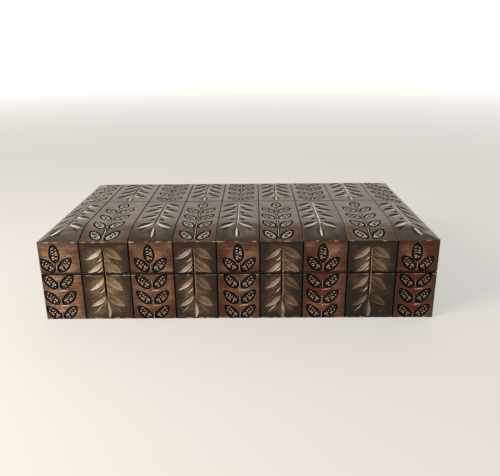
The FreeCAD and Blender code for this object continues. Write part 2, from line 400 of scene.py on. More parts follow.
def _build_wear_and_seam_shade(tree: bpy.types.ShaderNodeTree) -> None:
    """Masks of rubbed wood along the box's outer edges and the lid's hips, and of painted shade along the
    seam.

    Args:
        tree: The empty group.
    """
    sizes = WearAndSeamShadeSizes()
    bench = _sockets(tree, {"Reach": sizes.reach, "Ragged": 1.0}, ("Worn", "Grime"))
    given = bench.add("NodeGroupInput")
    result = bench.add("NodeGroupOutput")
    place = bench.add("TexCoord").outputs["Object"]
    x, y, z = bench.split(place)

    def apart(first: Value, second: Value) -> Socket:
        """How far two distances are apart."""
        return bench.math("ABSOLUTE", bench.math("SUBTRACT", first, second))

    from_end = apart(BOX.half_length, bench.math("ABSOLUTE", x))
    from_front = apart(BOX.half_depth, bench.math("ABSOLUTE", y))
    inward = bench.math("MINIMUM", from_end, from_front)
    nearest = bench.math("ADD", from_end, from_front)
    for level, rarity in zip((sizes.foot, BOX.base_height - sizes.under_seam, BOX.arris), sizes.rarity):
        off = bench.math("ADD", bench.math("ADD", inward, apart(z, level)), sizes.shyness)
        nearest = bench.math("MINIMUM", nearest, bench.math("MULTIPLY", off, rarity))
    hip = apart(from_end, bench.math("MULTIPLY", from_front, BOX.side_border / BOX.front_border))
    past = bench.math("MAXIMUM", bench.math("SUBTRACT", from_front, BOX.front_border), 0.0)
    hip = bench.math("ADD", hip, bench.math("MULTIPLY", past, sizes.hip_end))
    nearest = bench.math("MINIMUM", nearest, hip)
    share = bench.math("DIVIDE", nearest, given.outputs["Reach"])
    patches = sizes.patches.raw(bench, place)
    scuffs = bench.math("MULTIPLY", bench.math("SUBTRACT", patches, sizes.bareness), sizes.raggedness)
    ragged = bench.math("ADD", share, bench.math("MULTIPLY", scuffs, given.outputs["Ragged"]))
    bench.feed(result.inputs["Worn"], bench.fade(ragged, *sizes.fade, 1.0, 0.0))
    # Painted shade: a mask that darkens the wood along the seam between lid and base.
    stray = bench.math("MULTIPLY", bench.math("SUBTRACT", patches, 0.5), sizes.grime_stray)
    seam_distance = bench.math("ADD", apart(z, (BOX.base_height + BOX.lid_bottom) / 2), stray)
    bench.feed(result.inputs["Grime"], bench.fade(seam_distance, *sizes.grime_reach, 1.0, 0.0))


def _build_border(tree: bpy.types.ShaderNodeTree) -> None:
    """A mask that is 1 at the border of an ornament field and 0 in its middle.

    Args:
        tree: The empty group.
    """
    sizes = BorderSizes()
    bench = _sockets(tree, {"Spread": sizes.spread, "Seed": 0.0}, ("Border",))
    given = bench.add("NodeGroupInput")
    result = bench.add("NodeGroupOutput")
    u, v, _ = bench.split(bench.add("UVMap", uv_map="field").outputs["UV"])
    edges = []
    for share, stretch in ((u, sizes.wide), (v, sizes.tall)):
        inward = bench.math("MINIMUM", share, bench.math("SUBTRACT", 1.0, share))
        edges.append(bench.math("MULTIPLY", inward, stretch))
    clouds = sizes.clouds.raw(bench, bench.add("TexCoord").outputs["Object"], given.outputs["Seed"])
    stray = bench.math("MULTIPLY", bench.math("SUBTRACT", clouds, 0.5), sizes.stray)
    inner = bench.math("ADD", bench.math("MINIMUM", *edges), stray)
    share = bench.math("DIVIDE", inner, given.outputs["Spread"])
    bench.feed(result.inputs["Border"], bench.fade(share, *sizes.fade, 1.0, 0.0))


@dataclass(frozen=True)
class BoxSizes:
    """Sizes that the carving and the finishes share with the box itself."""

    half_length: float = mm(130)
    half_depth: float = mm(78)
    base_height: float = mm(33)
    lid_bottom: float = mm(33.2)
    arris: float = mm(55)
    rise: float = mm(5.5)
    front_border: float = mm(19.5)
    side_border: float = mm(17)
    crest_radius: float = mm(40)
    columns: tuple[float, ...] = (0.104, 0.123, 0.111, 0.108, 0.108, 0.108, 0.111, 0.123, 0.104)
    side_columns: int = 5

    def column_edges(self) -> list[float]:
        """Where the columns of the front begin and end, from left to right.

        Returns:
            Distances from the middle, one more than there are columns.
        """
        edges = [-self.half_length]
        for share in self.columns:
            edges.append(edges[-1] + share * self.half_length * 2)
        return edges

    def side_edges(self) -> list[float]:
        """Where the columns of the ends begin and end."""
        step = 2 * self.half_depth / self.side_columns
        return [-self.half_depth + step * i for i in range(self.side_columns + 1)]

    def slope_level(self, inward: float, border: float) -> float:
        """Height of the lid at a distance in from one edge.

        Args:
            inward: The distance from the lid's edge.
            border: The width of the sloping border on that side.

        Returns:
            The height above the floor.
        """
        slope = math.atan2(self.rise, border)
        run = self.crest_radius * math.tan(slope / 2)
        if inward >= border + run:
            return self.arris + self.rise
        if inward <= border - run * math.cos(slope):
            return self.arris + inward * math.tan(slope)
        reach = border + run - inward
        return self.arris + self.rise - self.crest_radius + math.sqrt(self.crest_radius**2 - reach**2)

    def crown_level(self, x: float, y: float) -> float:
        """Height of the lid's top at a place in plan.

        Args:
            x: Distance to the right of the middle.
            y: Distance back from the middle.

        Returns:
            The height above the floor.
        """
        by_front = self.slope_level(self.half_depth - abs(y), self.front_border)
        by_end = self.slope_level(self.half_length - abs(x), self.side_border)
        return min(by_front, by_end)


BOX = BoxSizes()


@dataclass(frozen=True)
class Coating:
    """A finish that becomes a material on first use."""

    name: str

    def material(self) -> bpy.types.Material:
        """The finish as a material.

        Returns:
            The material, made only once.
        """
        found = bpy.data.materials.get(self.name)
        if found is not None:
            return found
        material = bpy.data.materials.new(self.name)
        material.use_nodes = True
        self.lay(NodeBench(material.node_tree), material.node_tree.nodes["Principled BSDF"])
        return material

    def lay(self, bench: NodeBench, shader: bpy.types.Node) -> None:
        """Lays out the finish's nodes in front of a shader."""
        raise NotImplementedError


@dataclass(frozen=True)
class WoodFinish(Coating):
    """Wood with a stain, lacquer, grain, rubbed edges and a painted shade along the seam.

    Three tones run from pale to deep with the grain. The warm one takes over as far as a field's own tone
    says, and the rim's towards the border of a field.
    """

    pale: Colour
    mid: Colour
    deep: Colour
    warm: Colour
    rim: Colour = tint(60, 44, 34)
    rubbed: Colour = tint(186, 164, 138)
    streaks: float = 0.5
    mottle: float = 0.0
    blotches: float = 1.1
    border: float = 0.0
    spread: float = 0.5
    worn: float = 0.0
    roughness: float = 0.4
    smoother: float = 0.06
    streak_roughness: float = 0.14
    rubbed_roughness: float = 0.15
    coat: float = 0.25
    coat_roughness: float = 0.3
    gloss: float = 0.32
    relief: float = mm(0.05)
    relief_strength: float = 0.6

    def lay(self, bench: NodeBench, shader: bpy.types.Node) -> None:
        """Lays stain, grain, field border and wear in front of a shader.

        Args:
            bench: The material's bench.
            shader: Its shader.
        """
        seed = bench.mark("board")
        figure = bench.add("Group", node_tree=Effect.FIGURE.group())
        bench.feed(figure.inputs["Seed"], seed)
        bench.feed(figure.inputs["Crosswise"], bench.mark("crosswise"))
        grain = figure.outputs
        colour = bench.blend(grain["Figure"], self.mid, self.pale)
        if self.mottle > 0:
            colour = bench.blend(bench.math("MULTIPLY", grain["Mottle"], self.mottle), colour, self.pale)
        drift = bench.math("MULTIPLY", bench.math("SUBTRACT", grain["Blotch"], 0.5), self.blotches)
        colour = bench.blend(bench.math("ADD", bench.mark("tone"), drift, True), colour, self.warm)
        colour = bench.blend(bench.math("MULTIPLY", grain["Streak"], self.streaks), colour, self.deep)
        if self.mottle > 0:
            colour = bench.blend(bench.math("MULTIPLY", grain["Speck"], self.mottle), colour, self.deep)
        uneven = bench.math("MULTIPLY", grain["Streak"], self.streak_roughness)
        rough = bench.math("ADD", self.roughness - self.smoother, uneven)
        if self.border > 0:
            edge = bench.add("Group", node_tree=Effect.BORDER.group())
            edge.inputs["Spread"].default_value = self.spread
            bench.feed(edge.inputs["Seed"], seed)
            share = bench.math("MULTIPLY", edge.outputs["Border"], self.border)
            colour = bench.blend(share, colour, self.rim)
        if self.worn > 0:
            wear = bench.add("Group", node_tree=Effect.WEAR_AND_SEAM_SHADE.group())
            share = bench.math("MULTIPLY", wear.outputs["Worn"], self.worn)
            # Painted shade: the wood turns to the deep tone along the seam between lid and base.
            colour = bench.blend(wear.outputs["Grime"], colour, self.deep)
            colour = bench.blend(share, colour, self.rubbed)
            rough = bench.math("ADD", rough, bench.math("MULTIPLY", share, self.rubbed_roughness))
        bench.feed(shader.inputs["Base Color"], colour)
        bench.feed(shader.inputs["Roughness"], rough)
        shader.inputs["Specular IOR Level"].default_value = self.gloss
        shader.inputs["Coat Weight"].default_value = self.coat
        shader.inputs["Coat Roughness"].default_value = self.coat_roughness
        bench.emboss(shader, grain["Height"], self.relief, self.relief_strength)


def stain(name: str, *tones: Shade, **feel: float) -> WoodFinish:
    """A wood finish from display colours.

    Args:
        name: The finish's name.
        tones: Its pale, mid, deep and warm tone, and the rim's where it has a border.
        feel: Other values of the finish.

    Returns:
        The finish.
    """
    return WoodFinish(name, *(tint(*tone) for tone in tones), **feel)


@dataclass(frozen=True)
class MetalFinish(Coating):
    """Metal with a mottled film of age and fine drawn lines."""

    clean: Colour
    aged: Colour
    roughness: float
    film: float
    clouds: Clouds = Clouds(420.0, 4.0, 0.35, 0.7)
    lines: Clouds = Clouds(1.0, 2.0)
    lines_to_a_metre: tuple[float, float, float] = (60.0, 2600.0, 2600.0)
    film_roughness: float = 0.25
    relief: float = mm(0.02)
    relief_strength: float = 0.4

    def lay(self, bench: NodeBench, shader: bpy.types.Node) -> None:
        """Lays film and lines in front of a shader.

        Args:
            bench: The material's bench.
            shader: Its shader.
        """
        place = bench.add("TexCoord").outputs["Object"]
        film = bench.math("MULTIPLY", self.clouds.shown(bench, self.clouds.raw(bench, place)), self.film)
        drawn = bench.add("Mapping")
        drawn.inputs["Scale"].default_value = self.lines_to_a_metre
        bench.feed(drawn.inputs["Vector"], place)
        bench.feed(shader.inputs["Base Color"], bench.blend(film, self.clean, self.aged))
        shader.inputs["Metallic"].default_value = 1.0
        rough = bench.math("ADD", self.roughness, bench.math("MULTIPLY", film, self.film_roughness))
        bench.feed(shader.inputs["Roughness"], rough)
        lines = self.lines.raw(bench, drawn.outputs["Vector"])
        bench.emboss(shader, lines, self.relief, self.relief_strength)


class Finish(Enum):
    """The box's finishes by name."""

    WARM_FIELD = stain(
        "warm_field", (196, 151, 118), (148, 99, 65), (46, 26, 16), (113, 53, 20), (65, 37, 23),
        streaks=0.65, mottle=0.62, border=0.7, worn=0.9, roughness=0.38, coat=0.12, gloss=0.2,
    )
    DARK_FIELD = stain(
        "dark_field", (148, 117, 84), (114, 87, 61), (12, 8, 5), (56, 36, 23), (34, 23, 16),
        streaks=0.65, mottle=0.7, border=0.9, spread=0.7, worn=0.8, roughness=0.38, coat=0.12, gloss=0.2,
    )
    LID_DARK = stain(
        "lid_dark_field", (130, 106, 84), (103, 83, 66), (31, 25, 21), (58, 42, 34), (54, 44, 38),
        streaks=0.65, mottle=0.6, border=0.85, spread=0.7, worn=0.8, roughness=0.36, coat=0.35,
    )
    LID_FIELD = stain(
        "lid_warm_field", (130, 104, 84), (94, 72, 56), (29, 21, 17), (90, 58, 40), (84, 50, 35),
        streaks=0.65, mottle=0.6, border=0.6, spread=0.45, worn=0.8, roughness=0.36, coat=0.4,
    )
    GOUGED = stain(
        "gouged_leaf", (172, 143, 110), (146, 116, 84), (90, 67, 47), (90, 62, 40), (92, 70, 51),
        border=0.4, coat=0.1, roughness=0.44, relief=mm(0.03),
    )
    # A dim copy of the cut wood: painted shade on the bud's wall that faces away from the lamp. On the lid it
    # colours the leaf bodies, the knob and the punch brims.
    DULLED = stain(
        "dulled_leaf", (120, 99, 78), (94, 76, 60), (64, 51, 40), (96, 74, 56), (66, 54, 44),
        border=0.3, coat=0.35, roughness=0.36, relief=mm(0.03),
    )
    # A darker copy of the gouged wood: painted shade on leaf facets that face away from the lamp. The struck
    # leaves' brim takes it too.
    BROWNED = stain(
        "browned_leaf", (176, 142, 104), (138, 106, 72), (72, 52, 34), (94, 65, 40), (74, 54, 38),
        mottle=0.4, border=0.3, spread=0.4, coat=0.2, roughness=0.42, relief=mm(0.03),
    )
    SHADED = stain(
        "shaded_cut", (72, 58, 47), (52, 42, 35), (32, 26, 22), (58, 44, 34), (42, 34, 28),
        border=0.3, coat=0.05, roughness=0.5, relief=mm(0.03),
    )
    # Pale cut wood, brightened as a painted highlight on walls and leaf edges that face the lamp.
    LIT_LINE = stain(
        "lit_cut_line", (216, 194, 166), (190, 164, 132), (124, 101, 78), (124, 98, 70),
        coat=0.2, relief=mm(0.02),
    )
    # Near-white painted highlight over the pale cut wood, on the lid's cut lines, leaf edges, stalks and
    # punch marks.
    LID_LIT_LINE = stain(
        "lid_lit_cut_line", (246, 236, 220), (230, 217, 198), (150, 132, 112), (208, 191, 170),
        coat=0.3, relief=mm(0.02),
    )
    STAMPED = stain(
        "stamped_hollow", (24, 16, 13), (13, 9, 8), (7, 5, 5), (16, 10, 8),
        coat=0.0, gloss=0.08, roughness=0.6, relief=mm(0.02),
    )
    PRESSED = stain(
        "pressed_floor", (38, 25, 20), (22, 14, 12), (11, 8, 7), (28, 17, 14),
        coat=0.0, gloss=0.08, roughness=0.6, relief=mm(0.02),
    )
    CREST = stain(
        "stamped_crest", (242, 214, 198), (216, 182, 164), (128, 96, 80), (208, 168, 148), (120, 90, 76),
        mottle=0.6, border=0.2, coat=0.2, relief=mm(0.02),
    )
    # Near-black painted shadow on the walls of grooves, stems and ticks that face away from the lamp.
    SCORED = stain(
        "scored_line", (26, 19, 16), (15, 11, 9), (8, 6, 5), (17, 12, 10),
        coat=0.0, gloss=0.08, relief=mm(0.02),
    )
    BARE = stain(
        "bare_wood", (206, 176, 134), (188, 154, 111), (152, 119, 82), (188, 151, 109),
        coat=0.0, roughness=0.6, relief=mm(0.04),
    )
    PLY = stain(
        "plain_ply", (212, 184, 142), (196, 165, 122), (160, 128, 90), (198, 167, 125),
        coat=0.0, roughness=0.62, relief=mm(0.04),
    )
    BRASS = MetalFinish("aged_brass", tint(205, 168, 96), tint(112, 84, 48), 0.32, 0.65)
    STEEL = MetalFinish("steel_wire", tint(168, 166, 160), tint(96, 88, 80), 0.34, 0.5)


class Pick(Enum):
    """Which parts of a mesh a choice is made among."""

    VERTS = "VERT"
    EDGES = "EDGE"
    FACES = "FACE"


def focus(*pieces: bpy.types.Object) -> None:
    """Selects only these pieces and makes the first one active.

    Args:
        pieces: The pieces.
    """
    bpy.ops.object.select_all(action="DESELECT")
    for piece in pieces:
        piece.select_set(True)
    bpy.context.view_layer.objects.active = pieces[0]


def joined(pieces: list[bpy.types.Object], name: str) -> bpy.types.Object:
    """Several pieces joined into one object with a name.

    Args:
        pieces: The pieces.
        name: The name.

    Returns:
        The first piece, which now holds them all.
    """
    focus(*pieces)
    bpy.ops.object.join()
    pieces[0].name = name
    return pieces[0]


class Bench:
    """Edit-mode work on one mesh object."""

    def __init__(self, piece: bpy.types.Object) -> None:
        """Takes the piece to work on."""
        self.piece = piece

    def __enter__(self) -> "Bench":
        """Opens the piece alone in edit mode.

        Returns:
            The bench.
        """
        focus(self.piece)
        bpy.ops.object.mode_set(mode="EDIT")
        return self

    def __exit__(self, *_: object) -> None:
        """Goes back to object mode."""
        bpy.ops.object.mode_set(mode="OBJECT")

    def pick(self, kind: Pick, test: Callable[..., bool]) -> int:
        """Selects by place.

        Args:
            kind: What is selected.
            test: Given the corner points of each part, says whether it is selected.

        Returns:
            How many were selected.
        """
        bpy.ops.mesh.select_mode(type=kind.value)
        bpy.ops.mesh.select_all(action="DESELECT")
        net = bmesh.from_edit_mesh(self.piece.data)
        parts = {Pick.VERTS: net.verts, Pick.EDGES: net.edges, Pick.FACES: net.faces}[kind]
        count = 0
        for part in parts:
            points = [part.co] if kind is Pick.VERTS else [v.co for v in part.verts]
            if test(*points):
                part.select_set(True)
                count += 1
        net.select_flush_mode()
        bmesh.update_edit_mesh(self.piece.data)
        return count

    def everything(self) -> None:
        """Selects the whole mesh."""
        bpy.ops.mesh.select_mode(type="VERT")
        bpy.ops.mesh.select_all(action="SELECT")


def copy_of(node: str, ending: str, finish: Finish) -> bpy.types.Object:
    """A copy of a plain solid, with merged triangles, joined flat faces and no stored normals.

    Args:
        node: The solid's name.
        ending: What the copy's name ends with.
        finish: The finish that it gets all over.

    Returns:
        The copy.
    """
    piece = bpy.data.objects.new(f"{node}_{ending}", frame["nodes"][node].data.copy())
    bpy.context.scene.collection.objects.link(piece)
    piece.data.materials.clear()
    piece.data.materials.append(finish.value.material())
    for face in piece.data.polygons:
        face.material_index = 0
    with Bench(piece) as bench:
        bpy.ops.mesh.customdata_custom_splitnormals_clear()
        bench.everything()
        bpy.ops.mesh.remove_doubles(threshold=WELD)
        bpy.ops.mesh.dissolve_limited(angle_limit=FLATNESS)
    return piece


class Joining(Enum):
    """What a volume does to a piece."""

    CUT = "DIFFERENCE"
    FILL = "UNION"

    def work(self, piece: bpy.types.Object, volume: bpy.types.Object) -> None:
        """Cuts a volume out of a piece or adds it.

        Args:
            piece: The piece.
            volume: The volume, which keeps its finish on the faces that it makes.
        """
        step = piece.modifiers.new("carve", "BOOLEAN")
        step.operation = self.value
        step.solver = "MANIFOLD"
        step.material_mode = "TRANSFER"
        step.object = volume
        focus(piece)
        bpy.ops.object.modifier_apply(modifier=step.name)


class Outline(Enum):
    """How wide a cut is along its length, as a share of its full width.

    The two values of a leaf or bud say how far its widest place is shifted and how pointed its ends are.
    Those of a stem say how fast it widens at its start and narrows at its end.
    """

    LEAF = (0.85, 0.9)
    OVAL = (0.92, 0.62)
    BUD = (1.5, 0.75)
    STEM = (12, 6)

    def width_at(self, share: float) -> float:
        """The width at a place along the length.

        Args:
            share: The share of the length, from 0 to 1.

        Returns:
            The width's share of the full width.
        """
        first, second = self.value
        if self is Outline.STEM:
            return min(1.0, share * first, (1 - share) * second) * (0.5 + 0.5 * share)
        return math.sin(math.pi * share**first) ** second


@dataclass(frozen=True)
class Cut:
    """One stroke of the carver's tool: a hollow with a set outline and section.

    The tool's volume starts at the origin and runs along +Y, with the wood's surface at a height of 0.
    Each entry of the section is a share of half the width, from -1 to 1, and a share of the depth there.
    Each facet between two entries has a finish of its own. The depth falls with the width, raised to
    depth_power.
    """

    name: str
    outline: Outline
    length: float
    width: float
    depth: float
    section: tuple[tuple[float, float], ...]
    facets: tuple[Finish, ...]
    steps: int = 8
    overrun: float = mm(1)
    depth_power: float = 0.8

    def blank(self) -> bpy.types.Object:
        """A flat sheet with the cut's outline.

        Returns:
            The sheet, with rows square to the length and a finish on each strip.
        """
        bpy.ops.object.select_all(action="DESELECT")
        bpy.ops.mesh.primitive_grid_add(x_subdivisions=len(self.facets), y_subdivisions=self.steps, size=1.0)
        piece = bpy.context.active_object
        piece.name = self.name
        kinds = list(dict.fromkeys(self.facets))
        for kind in kinds:
            piece.data.materials.append(kind.value.material())
        for face in piece.data.polygons:
            face.material_index = kinds.index(self.facets[int((face.center.x + 0.5) * len(self.facets))])
        with Bench(piece) as bench:
            for row in range(self.steps + 1):
                share = row / self.steps
                bench.pick(Pick.VERTS, lambda p, at=share - 0.5: abs(p.y - at) < ROW_NEAR)
                wide = max(self.outline.width_at(share), 0.0) * self.width
                bpy.ops.transform.resize(value=(wide, 1, 1), center_override=(0, share - 0.5, 0))
            bench.everything()
            bpy.ops.transform.translate(value=(0, 0.5, 0))
            bpy.ops.transform.resize(value=(1, self.length, 1), center_override=(0, 0, 0))
            bench.everything()
            bpy.ops.mesh.remove_doubles(threshold=WELD)
        return piece

    def hollow(self, piece: bpy.types.Object) -> None:
        """Presses the section into the sheet.

        Args:
            piece: The sheet.
        """
        with Bench(piece) as bench:
            for row in range(1, self.steps):
                share = row / self.steps
                wide = self.outline.width_at(share)
                for column, (place, sink) in enumerate(self.section[1:-1], start=1):
                    x = (column / len(self.facets) - 0.5) * wide * self.width
                    spot = Vector((x, share * self.length, 0))
                    if bench.pick(Pick.VERTS, lambda p, spot=spot: (p - spot).length < NEAR):
                        shift = place * wide * self.width / 2 - x
                        fall = self.depth * sink * wide**self.depth_power
                        bpy.ops.transform.translate(value=(shift, 0, -fall))

    def close(self, piece: bpy.types.Object) -> None:
        """Raises the rim clear of the wood and caps it.

        Args:
            piece: The hollowed sheet, which becomes a closed volume.
        """
        with Bench(piece) as bench:
            bench.everything()
            bpy.ops.mesh.region_to_loop()
            bpy.ops.mesh.extrude_region_move(TRANSFORM_OT_translate={"value": (0, 0, self.overrun)})
            bpy.ops.mesh.edge_face_add()
            bench.everything()
            bpy.ops.mesh.normals_make_consistent(inside=False)

    def tool(self) -> bpy.types.Object:
        """The finished tool.

        Returns:
            A closed volume that is later copied to each place.
        """
        piece = self.blank()
        self.hollow(piece)
        self.close(piece)
        return piece


@dataclass(frozen=True)
class Stamp(Cut):
    """A leaf struck with a shaped punch: a brim, a dark outline, a ridge, and dots that stand in a hollow.

    The dots' tops, the hollow's floor, the top of the ridge and the brim each have a finish of their own.
    """

    rim: float = mm(0.2)
    line: float = mm(0.8)
    inner_share: float = 0.7
    ridge: float = mm(0.15)
    shoulder: float = mm(0.2)
    floor_share: float = 0.75
    crest: float = mm(0.08)
    dot: Span = (mm(1.6), mm(0.85))
    taper: Span = (0.85, 0.7)
    root: float = mm(0.2)
    pitch: Span = (mm(2.0), mm(1.9))
    rows: tuple[int, ...] = (5, 4)
    seed: int = 5
    uneven: float = 0.2
    askew: float = 0.35
    upward: float = 0.9
    light: Finish = Finish.CREST
    floor: Finish = Finish.PRESSED
    ring: Finish = Finish.GOUGED
    brim: Finish = Finish.BROWNED

    def rings(self, piece: bpy.types.Object) -> None:
        """Insets the outline into a groove, a ridge and a floor.

        Args:
            piece: The sheet.
        """
        with Bench(piece) as bench:
            bench.everything()
            bpy.ops.mesh.dissolve_faces()
            bpy.ops.mesh.normals_make_consistent(inside=False)
            for thickness, step in (
                (self.rim, -self.crest),
                (self.line, -self.depth),
                (self.line * self.inner_share, self.depth - self.crest),
                (self.ridge, 0.0),
                (self.shoulder, -self.depth * self.floor_share + self.crest),
            ):
                bpy.ops.mesh.inset(thickness=thickness, depth=step, use_boundary=True)

    def dots(self) -> bpy.types.Object:
        """Small flat-topped blocks that the punch leaves standing in the hollow.

        Returns:
            The blocks as one object.
        """
        hand = random.Random(self.seed)
        blocks = []
        for lane, count in enumerate(self.rows):
            for i in range(count):
                aside = lane - (len(self.rows) - 1) / 2 + hand.uniform(-0.5, 0.5) * self.uneven
                ahead = i - (count - 1) / 2 + hand.uniform(-1, 1) * self.uneven
                size = [span * (1 + hand.uniform(-1, 1) * self.uneven) for span in self.dot]
                place = (aside * self.pitch[0], self.length * 0.5 + ahead * self.pitch[1])
                blocks.append(self._dot(place, size, hand.uniform(-1, 1) * self.askew))
        dots = joined(blocks, f"{self.name}_dots")
        bpy.ops.object.transform_apply(location=True, rotation=False, scale=False)
        for kind in (self.floor, self.light):
            dots.data.materials.append(kind.value.material())
        for face in dots.data.polygons:
            face.material_index = 1 if face.normal.z > self.upward else 0
        return dots

    def _dot(self, place: Span, size: Sequence[float], turn: float) -> bpy.types.Object:
        """One standing block.

        Args:
            place: Where it stands, across and along the leaf.
            size: Its size across and along the leaf.
            turn: How far it is turned.

        Returns:
            The block, with a narrower top.
        """
        top = -self.crest
        low = -self.depth * self.floor_share - self.root
        bpy.ops.object.select_all(action="DESELECT")
        bpy.ops.mesh.primitive_cube_add(size=1.0, location=(*place, 0))
        block = bpy.context.active_object
        block.scale = (*size, self.depth)
        block.rotation_euler.z = turn
        bpy.ops.object.transform_apply(location=False, rotation=True, scale=True)

        def is_bottom(*points: Vector) -> bool:
            """Whether a face is level and under the top."""
            lowest = min(p.z for p in points)
            return all(p.z == lowest for p in points) and lowest < top

        with Bench(block) as bench:
            bench.pick(Pick.FACES, lambda *points: all(p.z > 0 for p in points))
            bpy.ops.transform.translate(value=(0, 0, top - self.depth / 2))
            bpy.ops.transform.resize(value=(*self.taper, 1), center_override=(*place, top))
            bench.pick(Pick.FACES, is_bottom)
            bpy.ops.transform.translate(value=(0, 0, low + self.depth / 2))
        return block

    def _zone(self, heights: Sequence[float]) -> int:
        """The material slot of one of the punch's faces.

        Args:
            heights: The heights of the face's corners.

        Returns:
            1 for the floor, 2 the ridge, 3 the brim and 0 the rest.
        """
        low, high = min(heights), max(heights)
        level = high - low < WELD
        if level and high < -self.crest * 2:
            return 1
        if low > -self.crest * 3 and high < WELD:
            return 2 if level else 3
        return 0

    def tool(self) -> bpy.types.Object:
        """The finished punch.

        Returns:
            A closed volume that is later copied to each place.
        """
        piece = self.blank()
        self.rings(piece)
        self.close(piece)
        for kind in (self.floor, self.ring, self.brim):
            piece.data.materials.append(kind.value.material())
        for face in piece.data.polygons:
            face.material_index = self._zone([piece.data.vertices[i].co.z for i in face.vertices])
        blocks = self.dots()
        Joining.CUT.work(piece, blocks)
        bpy.data.objects.remove(blocks)
        return piece


class Tool(Enum):
    """The carver's set of tools."""

    # The upper facet takes a painted shade and the lower edge a painted highlight; the lower facet has the
    # gouged wood's own colour.
    LEAF = Cut(
        "leaf_gouge", Outline.LEAF, mm(13.6), mm(5.2), mm(1.6), ((-1, 0), (0.0, 1), (0.8, 0.22), (1, 0)),
        (Finish.BROWNED, Finish.GOUGED, Finish.LIT_LINE), steps=14,
    )
    # Leaves to the right of a wall's stem face away from the lamp: both facets take a painted shade, and the
    # lower edge a painted highlight.
    SHADE_SIDE_LEAF = replace(
        LEAF, name="shade_side_leaf_gouge", depth=mm(1.4), section=((-1, 0), (0.15, 1), (0.8, 0.22), (1, 0)),
        facets=(Finish.BROWNED, Finish.BROWNED, Finish.LIT_LINE),
    )
    # A painted shade on the far wall, the dim cut colour on the body and a painted highlight on the near
    # edge.
    LID_LEAF = Cut(
        "lid_leaf_gouge", Outline.LEAF, mm(13.6), mm(5.8), mm(0.85), ((-1, 0), (-0.5, 1), (0.1, 0.5), (1, 0)),
        (Finish.SHADED, Finish.DULLED, Finish.LID_LIT_LINE), steps=14,
    )
    # The wall that faces the lamp takes a painted highlight, the other a painted shadow.
    STEM = Cut(
        "stem_line", Outline.STEM, mm(39), mm(2.2), mm(1.1), ((-1, 0), (-0.42, 1), (1, 0)),
        (Finish.LIT_LINE, Finish.SCORED), steps=16,
    )
    # As on the walls: a painted highlight on the wall that faces the lamp, a painted shadow on the other.
    LID_STEM = Cut(
        "lid_stem_line", Outline.STEM, mm(57), mm(1.9), mm(0.6), ((-1, 0), (-0.2, 1), (1, 0)),
        (Finish.LID_LIT_LINE, Finish.SCORED), steps=24,
    )
    # Painted shadow on the upper facet, painted highlight on the lower.
    TICK = Cut(
        "short_tick", Outline.LEAF, mm(5), mm(1.5), mm(0.7), ((-1, 0), (-0.1, 1), (1, 0)),
        (Finish.SCORED, Finish.LIT_LINE), steps=6,
    )
    # Both facets are light; the one that faces away from the lamp is later given painted shade.
    ARC = Cut(
        "joint_nick", Outline.LEAF, mm(7.5), mm(0.9), mm(0.4), ((-1, 0), (0, 1), (1, 0)),
        (Finish.CREST, Finish.CREST), steps=6,
    )
    STALK = Cut(
        "stalk_line", Outline.STEM, mm(6), mm(2.4), mm(0.55),
        ((-1, 0), (-0.6, 1), (-0.2, 0.1), (0.2, 0.1), (0.6, 1), (1, 0)),
        (Finish.STAMPED, Finish.STAMPED, Finish.CREST, Finish.STAMPED, Finish.STAMPED), steps=6,
    )
    # On the lid the stalk's ridge takes a painted highlight.
    LID_STALK = replace(
        STALK, name="lid_stalk_line",
        facets=(Finish.STAMPED, Finish.STAMPED, Finish.LID_LIT_LINE, Finish.STAMPED, Finish.STAMPED),
    )
    # Painted highlight on the wall that faces the lamp, painted shade on the other.
    BUD = Cut(
        "bud_gouge", Outline.BUD, mm(12.6), mm(4.0), mm(1.0), ((-1, 0), (0.1, 1), (1, 0)),
        (Finish.LIT_LINE, Finish.DULLED), steps=10,
    )
    # Painted shade on the walls of the middle ridge and a painted highlight on its top.
    KNOB = Cut(
        "knob_gouge", Outline.BUD, mm(12.6), mm(7.3), mm(0.9),
        ((-1, 0), (-0.6, 1), (-0.2, 0.15), (0.2, 0.15), (0.6, 1), (1, 0)),
        (Finish.DULLED, Finish.SHADED, Finish.LID_LIT_LINE, Finish.SHADED, Finish.DULLED), steps=10,
    )
    PUNCH = Stamp(
        "leaf_punch", Outline.OVAL, mm(14.2), mm(7.6), mm(0.7), ((-1, 0), (0, 0), (1, 0)),
        (Finish.STAMPED, Finish.STAMPED), steps=16,
    )
    # Its dots and ring are pale cut wood brightened as a painted highlight.
    LID_PUNCH = replace(
        PUNCH, name="lid_leaf_punch", width=mm(8.4), rim=mm(0.5), line=mm(0.85), ridge=mm(0.3),
        light=Finish.LID_LIT_LINE, floor=Finish.SHADED, ring=Finish.LID_LIT_LINE, brim=Finish.DULLED,
    )


@dataclass(frozen=True)
class Stroke:
    """One use of a tool in a sprig, measured from the foot of the sprig's stem.

    Turn is in degrees from straight up, towards the right. Long and wide are shares of the tool's own sizes.
    """

    tool: Tool
    u: float
    v: float
    turn: float = 0.0
    long: float = 1.0
    wide: float = 1.0

    def mirrored(self) -> "Stroke":
        """The same stroke on the other side of the stem."""
        return Stroke(self.tool, -self.u, self.v, -self.turn, self.long, -self.wide)


